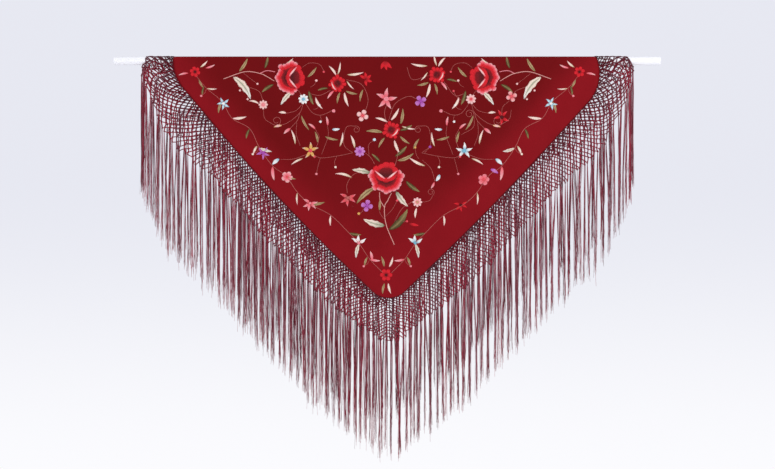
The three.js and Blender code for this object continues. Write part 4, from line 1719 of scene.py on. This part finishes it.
@dataclass
class Design:
    """The whole pattern of one hanging half, placed in centimetres from the fold's middle."""

    garden: Garden
    kinds: tuple[str, ...] = ("slim", "olive", "blush", "moss", "cream", "pink", "olive")
    bare: tuple[int, ...] = (6, 8)

    def sew(self) -> None:
        """Sews both halves of the pattern and what stands between them."""
        for flip in (False, True):
            self.garden.flip = flip
            self.garden.follow(HALF)
            self._border_vine()
            self.garden.follow(BORDER)
        self.garden.flip = False
        self.garden.follow(MIDDLE)

    def _border_vine(self) -> None:
        """The long vine above the hem, from beside the big rose to the point, and its leaves."""
        g = self.garden
        g.vine("rust", 1.9, 0.0, *(v for place in VINE_PATH for v in place))
        for i, (a, d) in enumerate(VINE_PATH[1:-1]):
            side = 1 if i % 2 else -1
            on = VINE_PATH[i + 2]
            along = math.degrees(math.atan2(on[1] - d, on[0] - a))
            if not (g.flip and i in self.bare):
                out = side * (38 + 9 * (i % 2))
                g.leaf(self.kinds[i % 7], a, d, 4.0 + 0.7 * (i % 3), along + out)
            if i % 4 == 0 and i != 8:
                kind, way = self.kinds[(i + 3) % 7], along - side * 62
                g.leaf(kind, a - 0.8, d - 0.8, 3.6, way, width=0.9)
                end = polar((a, d), 3.4, along - side * 84)
                g.berry(("pink", "cream", "coral")[i % 3], 0.9, *end, a, d)


# ---- the rod, and the shawl as a whole


@dataclass
class Rod:
    """The round rod that the shawl hangs over."""

    radius: float = 0.015
    length: float = 2.0
    sides: int = 96
    easing: float = 0.0012
    sharpest: float = 35.0

    def build(self, paint: bpy.types.Material) -> bpy.types.Object:
        """Makes the rod, with eased rims at its ends."""
        bpy.ops.object.select_all(action="DESELECT")
        along = (0.0, math.pi / 2.0, 0.0)
        bpy.ops.mesh.primitive_cylinder_add(
            vertices=self.sides, radius=self.radius, depth=self.length, rotation=along
        )
        rod = bpy.context.active_object
        rod.name = rod.data.name = "painted_rod"
        bpy.ops.object.transform_apply(location=True, rotation=True, scale=True)
        bpy.ops.object.mode_set(mode="EDIT")
        bpy.ops.mesh.select_all(action="DESELECT")
        bpy.ops.object.mode_set(mode="OBJECT")
        for edge in rod.data.edges:
            a, b = (rod.data.vertices[i].co for i in edge.vertices)
            edge.select = abs(a.x - b.x) < 1e-5
        bpy.ops.object.mode_set(mode="EDIT")
        bpy.ops.mesh.select_mode(type="EDGE")
        bpy.ops.mesh.bevel(offset=self.easing, segments=4, profile=0.5)
        bpy.ops.object.mode_set(mode="OBJECT")
        bpy.ops.object.shade_smooth_by_angle(angle=math.radians(self.sharpest))
        rod.data.materials.append(paint)
        return rod


@dataclass
class Shawl:
    """All pieces of the shawl and its rod, built in order."""

    hang: Hang = field(default_factory=Hang)
    back_scale: float = 0.88

    def _keep(self, piece: bpy.types.Object, slot: str, *nodes: str) -> bpy.types.Object:
        """Puts a piece on the frame.

        Args:
            piece: The piece.
            slot: The part of the record that its finish belongs to; not used.
            nodes: The plain solids that it stands for.

        Returns:
            The piece.
        """
        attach(piece, BODY)
        if nodes:
            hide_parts(*nodes)
        triangles = sum(len(p.vertices) - 2 for p in piece.data.polygons)
        LOG.info("%s: %d triangles", piece.name, triangles)
        return piece

    def build(self, patterns: Patterns) -> None:
        """Builds every piece."""
        crepe, satin, seam, knotted, loose, paint = (
            finish.build(patterns) for finish in (CREPE, SATIN, SEAM, KNOTTED, LOOSE, GLOSS_PAINT)
        )
        self._keep(Rod().build(paint), "rod", "rod")
        cloth = Cloth(self.hang)
        sheet = self._keep(cloth.build(crepe), "cloth", "cloth_front", "cloth_fold", "cloth_back")
        trims = [self._keep(cloth.build_hem(seam), "cloth")]
        for turned, scale, name in (
            (False, 1.0, "front_flowers"), (True, self.back_scale, "back_flowers"),
        ):
            sewing = Stitching(self.hang)
            Design(Garden(sewing, turned, scale)).sew()
            trims.append(self._keep(sewing.parts.build(name, satin), "cloth"))
        net = Net(self.hang)
        fringe = Fringe(net)
        for side in Side:
            end = side.name.lower()
            nodes = [f"net_{part}_{end}" for part in ("front", "fold", "back")]
            trims.append(self._keep(net.build(side, knotted), "net", *nodes))
            for face in Face:
                node = f"fringe_{face.name.lower()}_{end}"
                trims.append(self._keep(fringe.build(face, side, loose), "fringe", node))


# ---- the studio


@dataclass
class Studio:
    """A pale round floor in even pale light, two soft lamps, and the camera straight in front."""

    floor: float = -2.3
    floor_radius: float = 7.2
    low_air: Colour = (0.965, 0.965, 0.995)
    high_air: Colour = (0.8, 0.81, 0.885)
    air_change: Point = (-0.11, 0.03)
    distance: float = 8.0
    rod_gap: float = 0.02
    aim: Point = (0.001, -0.635)
    frame_width: float = 2.829
    sensor: float = 36.0
    lit: Triple = (0.0, 0.0, -0.6)

    def _floor(self, paper: bpy.types.Material) -> None:
        """Lays the round floor far under the shawl."""
        middle = (0.0, 0.0, self.floor)
        bpy.ops.mesh.primitive_circle_add(
            vertices=96, radius=self.floor_radius, fill_type="NGON", location=middle
        )
        floor = bpy.context.object
        floor.name = "floor"
        floor.data.materials.append(paper)

    def _lamp(self, name: str, place: Triple, size: float, power: float) -> None:
        """Adds a large soft lamp that shines on the shawl.

        Args:
            name: Its name.
            place: Where it stands.
            size: Its width and height.
            power: Its power in watts.
        """
        light = bpy.data.lights.new(name, "AREA")
        light.shape, light.size, light.energy = "SQUARE", size, power
        lamp = bpy.data.objects.new(name, light)
        lamp.location = place
        lamp.visible_camera = False
        x, y, z = (to - start for to, start in zip(self.lit, place))
        lamp.rotation_euler = (math.atan2(math.hypot(x, y), -z), 0.0, math.atan2(-x, y))
        bpy.context.scene.collection.objects.link(lamp)

    def _camera(self) -> None:
        """Stands the camera straight in front of the shawl."""
        view = bpy.data.cameras.new("camera")
        view.sensor_width = self.sensor
        view.lens = self.sensor * (self.distance - self.rod_gap) / self.frame_width
        camera = bpy.data.objects.new("camera", view)
        camera.location = (self.aim[0], -self.distance, self.aim[1])
        camera.rotation_euler = (math.pi / 2.0, 0.0, 0.0)
        bpy.context.scene.collection.objects.link(camera)
        bpy.context.scene.camera = camera

    def _air(self) -> None:
        """Lights the studio evenly from all sides, a little brighter below the rod than above."""
        world = bpy.data.worlds.new("studio")
        bpy.context.scene.world = world
        world.use_nodes = True
        nodes = Nodes(world.node_tree)
        way = nodes.add("ShaderNodeTexCoord").outputs["Generated"]
        height = nodes.add("ShaderNodeSeparateXYZ", Vector=way).outputs["Z"]
        low, high = self.air_change
        rise = nodes.add(
            "ShaderNodeMapRange", interpolation_type="SMOOTHSTEP", Value=height, From_Min=low,
            From_Max=high,
        )
        air = nodes.mix(rise.outputs["Result"], self.low_air, self.high_air)
        glow = nodes.add("ShaderNodeBackground", Color=air)
        nodes.add("ShaderNodeOutputWorld", Surface=glow.outputs[0])

    def build(self, patterns: Patterns) -> None:
        """Sets up the floor, the lamps, the air and the camera."""
        bpy.context.scene.view_settings.view_transform = "Standard"
        self._floor(PAPER.build(patterns))
        self._lamp("key", (4.0, -5.4, 1.0), 2.4, 100.0)
        self._lamp("fill", (-4.0, -5.5, 1.2), 3.0, 36.0)
        self._air()
        self._camera()


def main() -> None:
    """Builds the shawl, its stage, its lights and its camera."""
    logging.basicConfig(level=logging.INFO, format="%(message)s")
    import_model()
    patterns = Patterns()
    Studio().build(patterns)
    Shawl().build(patterns)


if __name__ == "__main__":
    main()
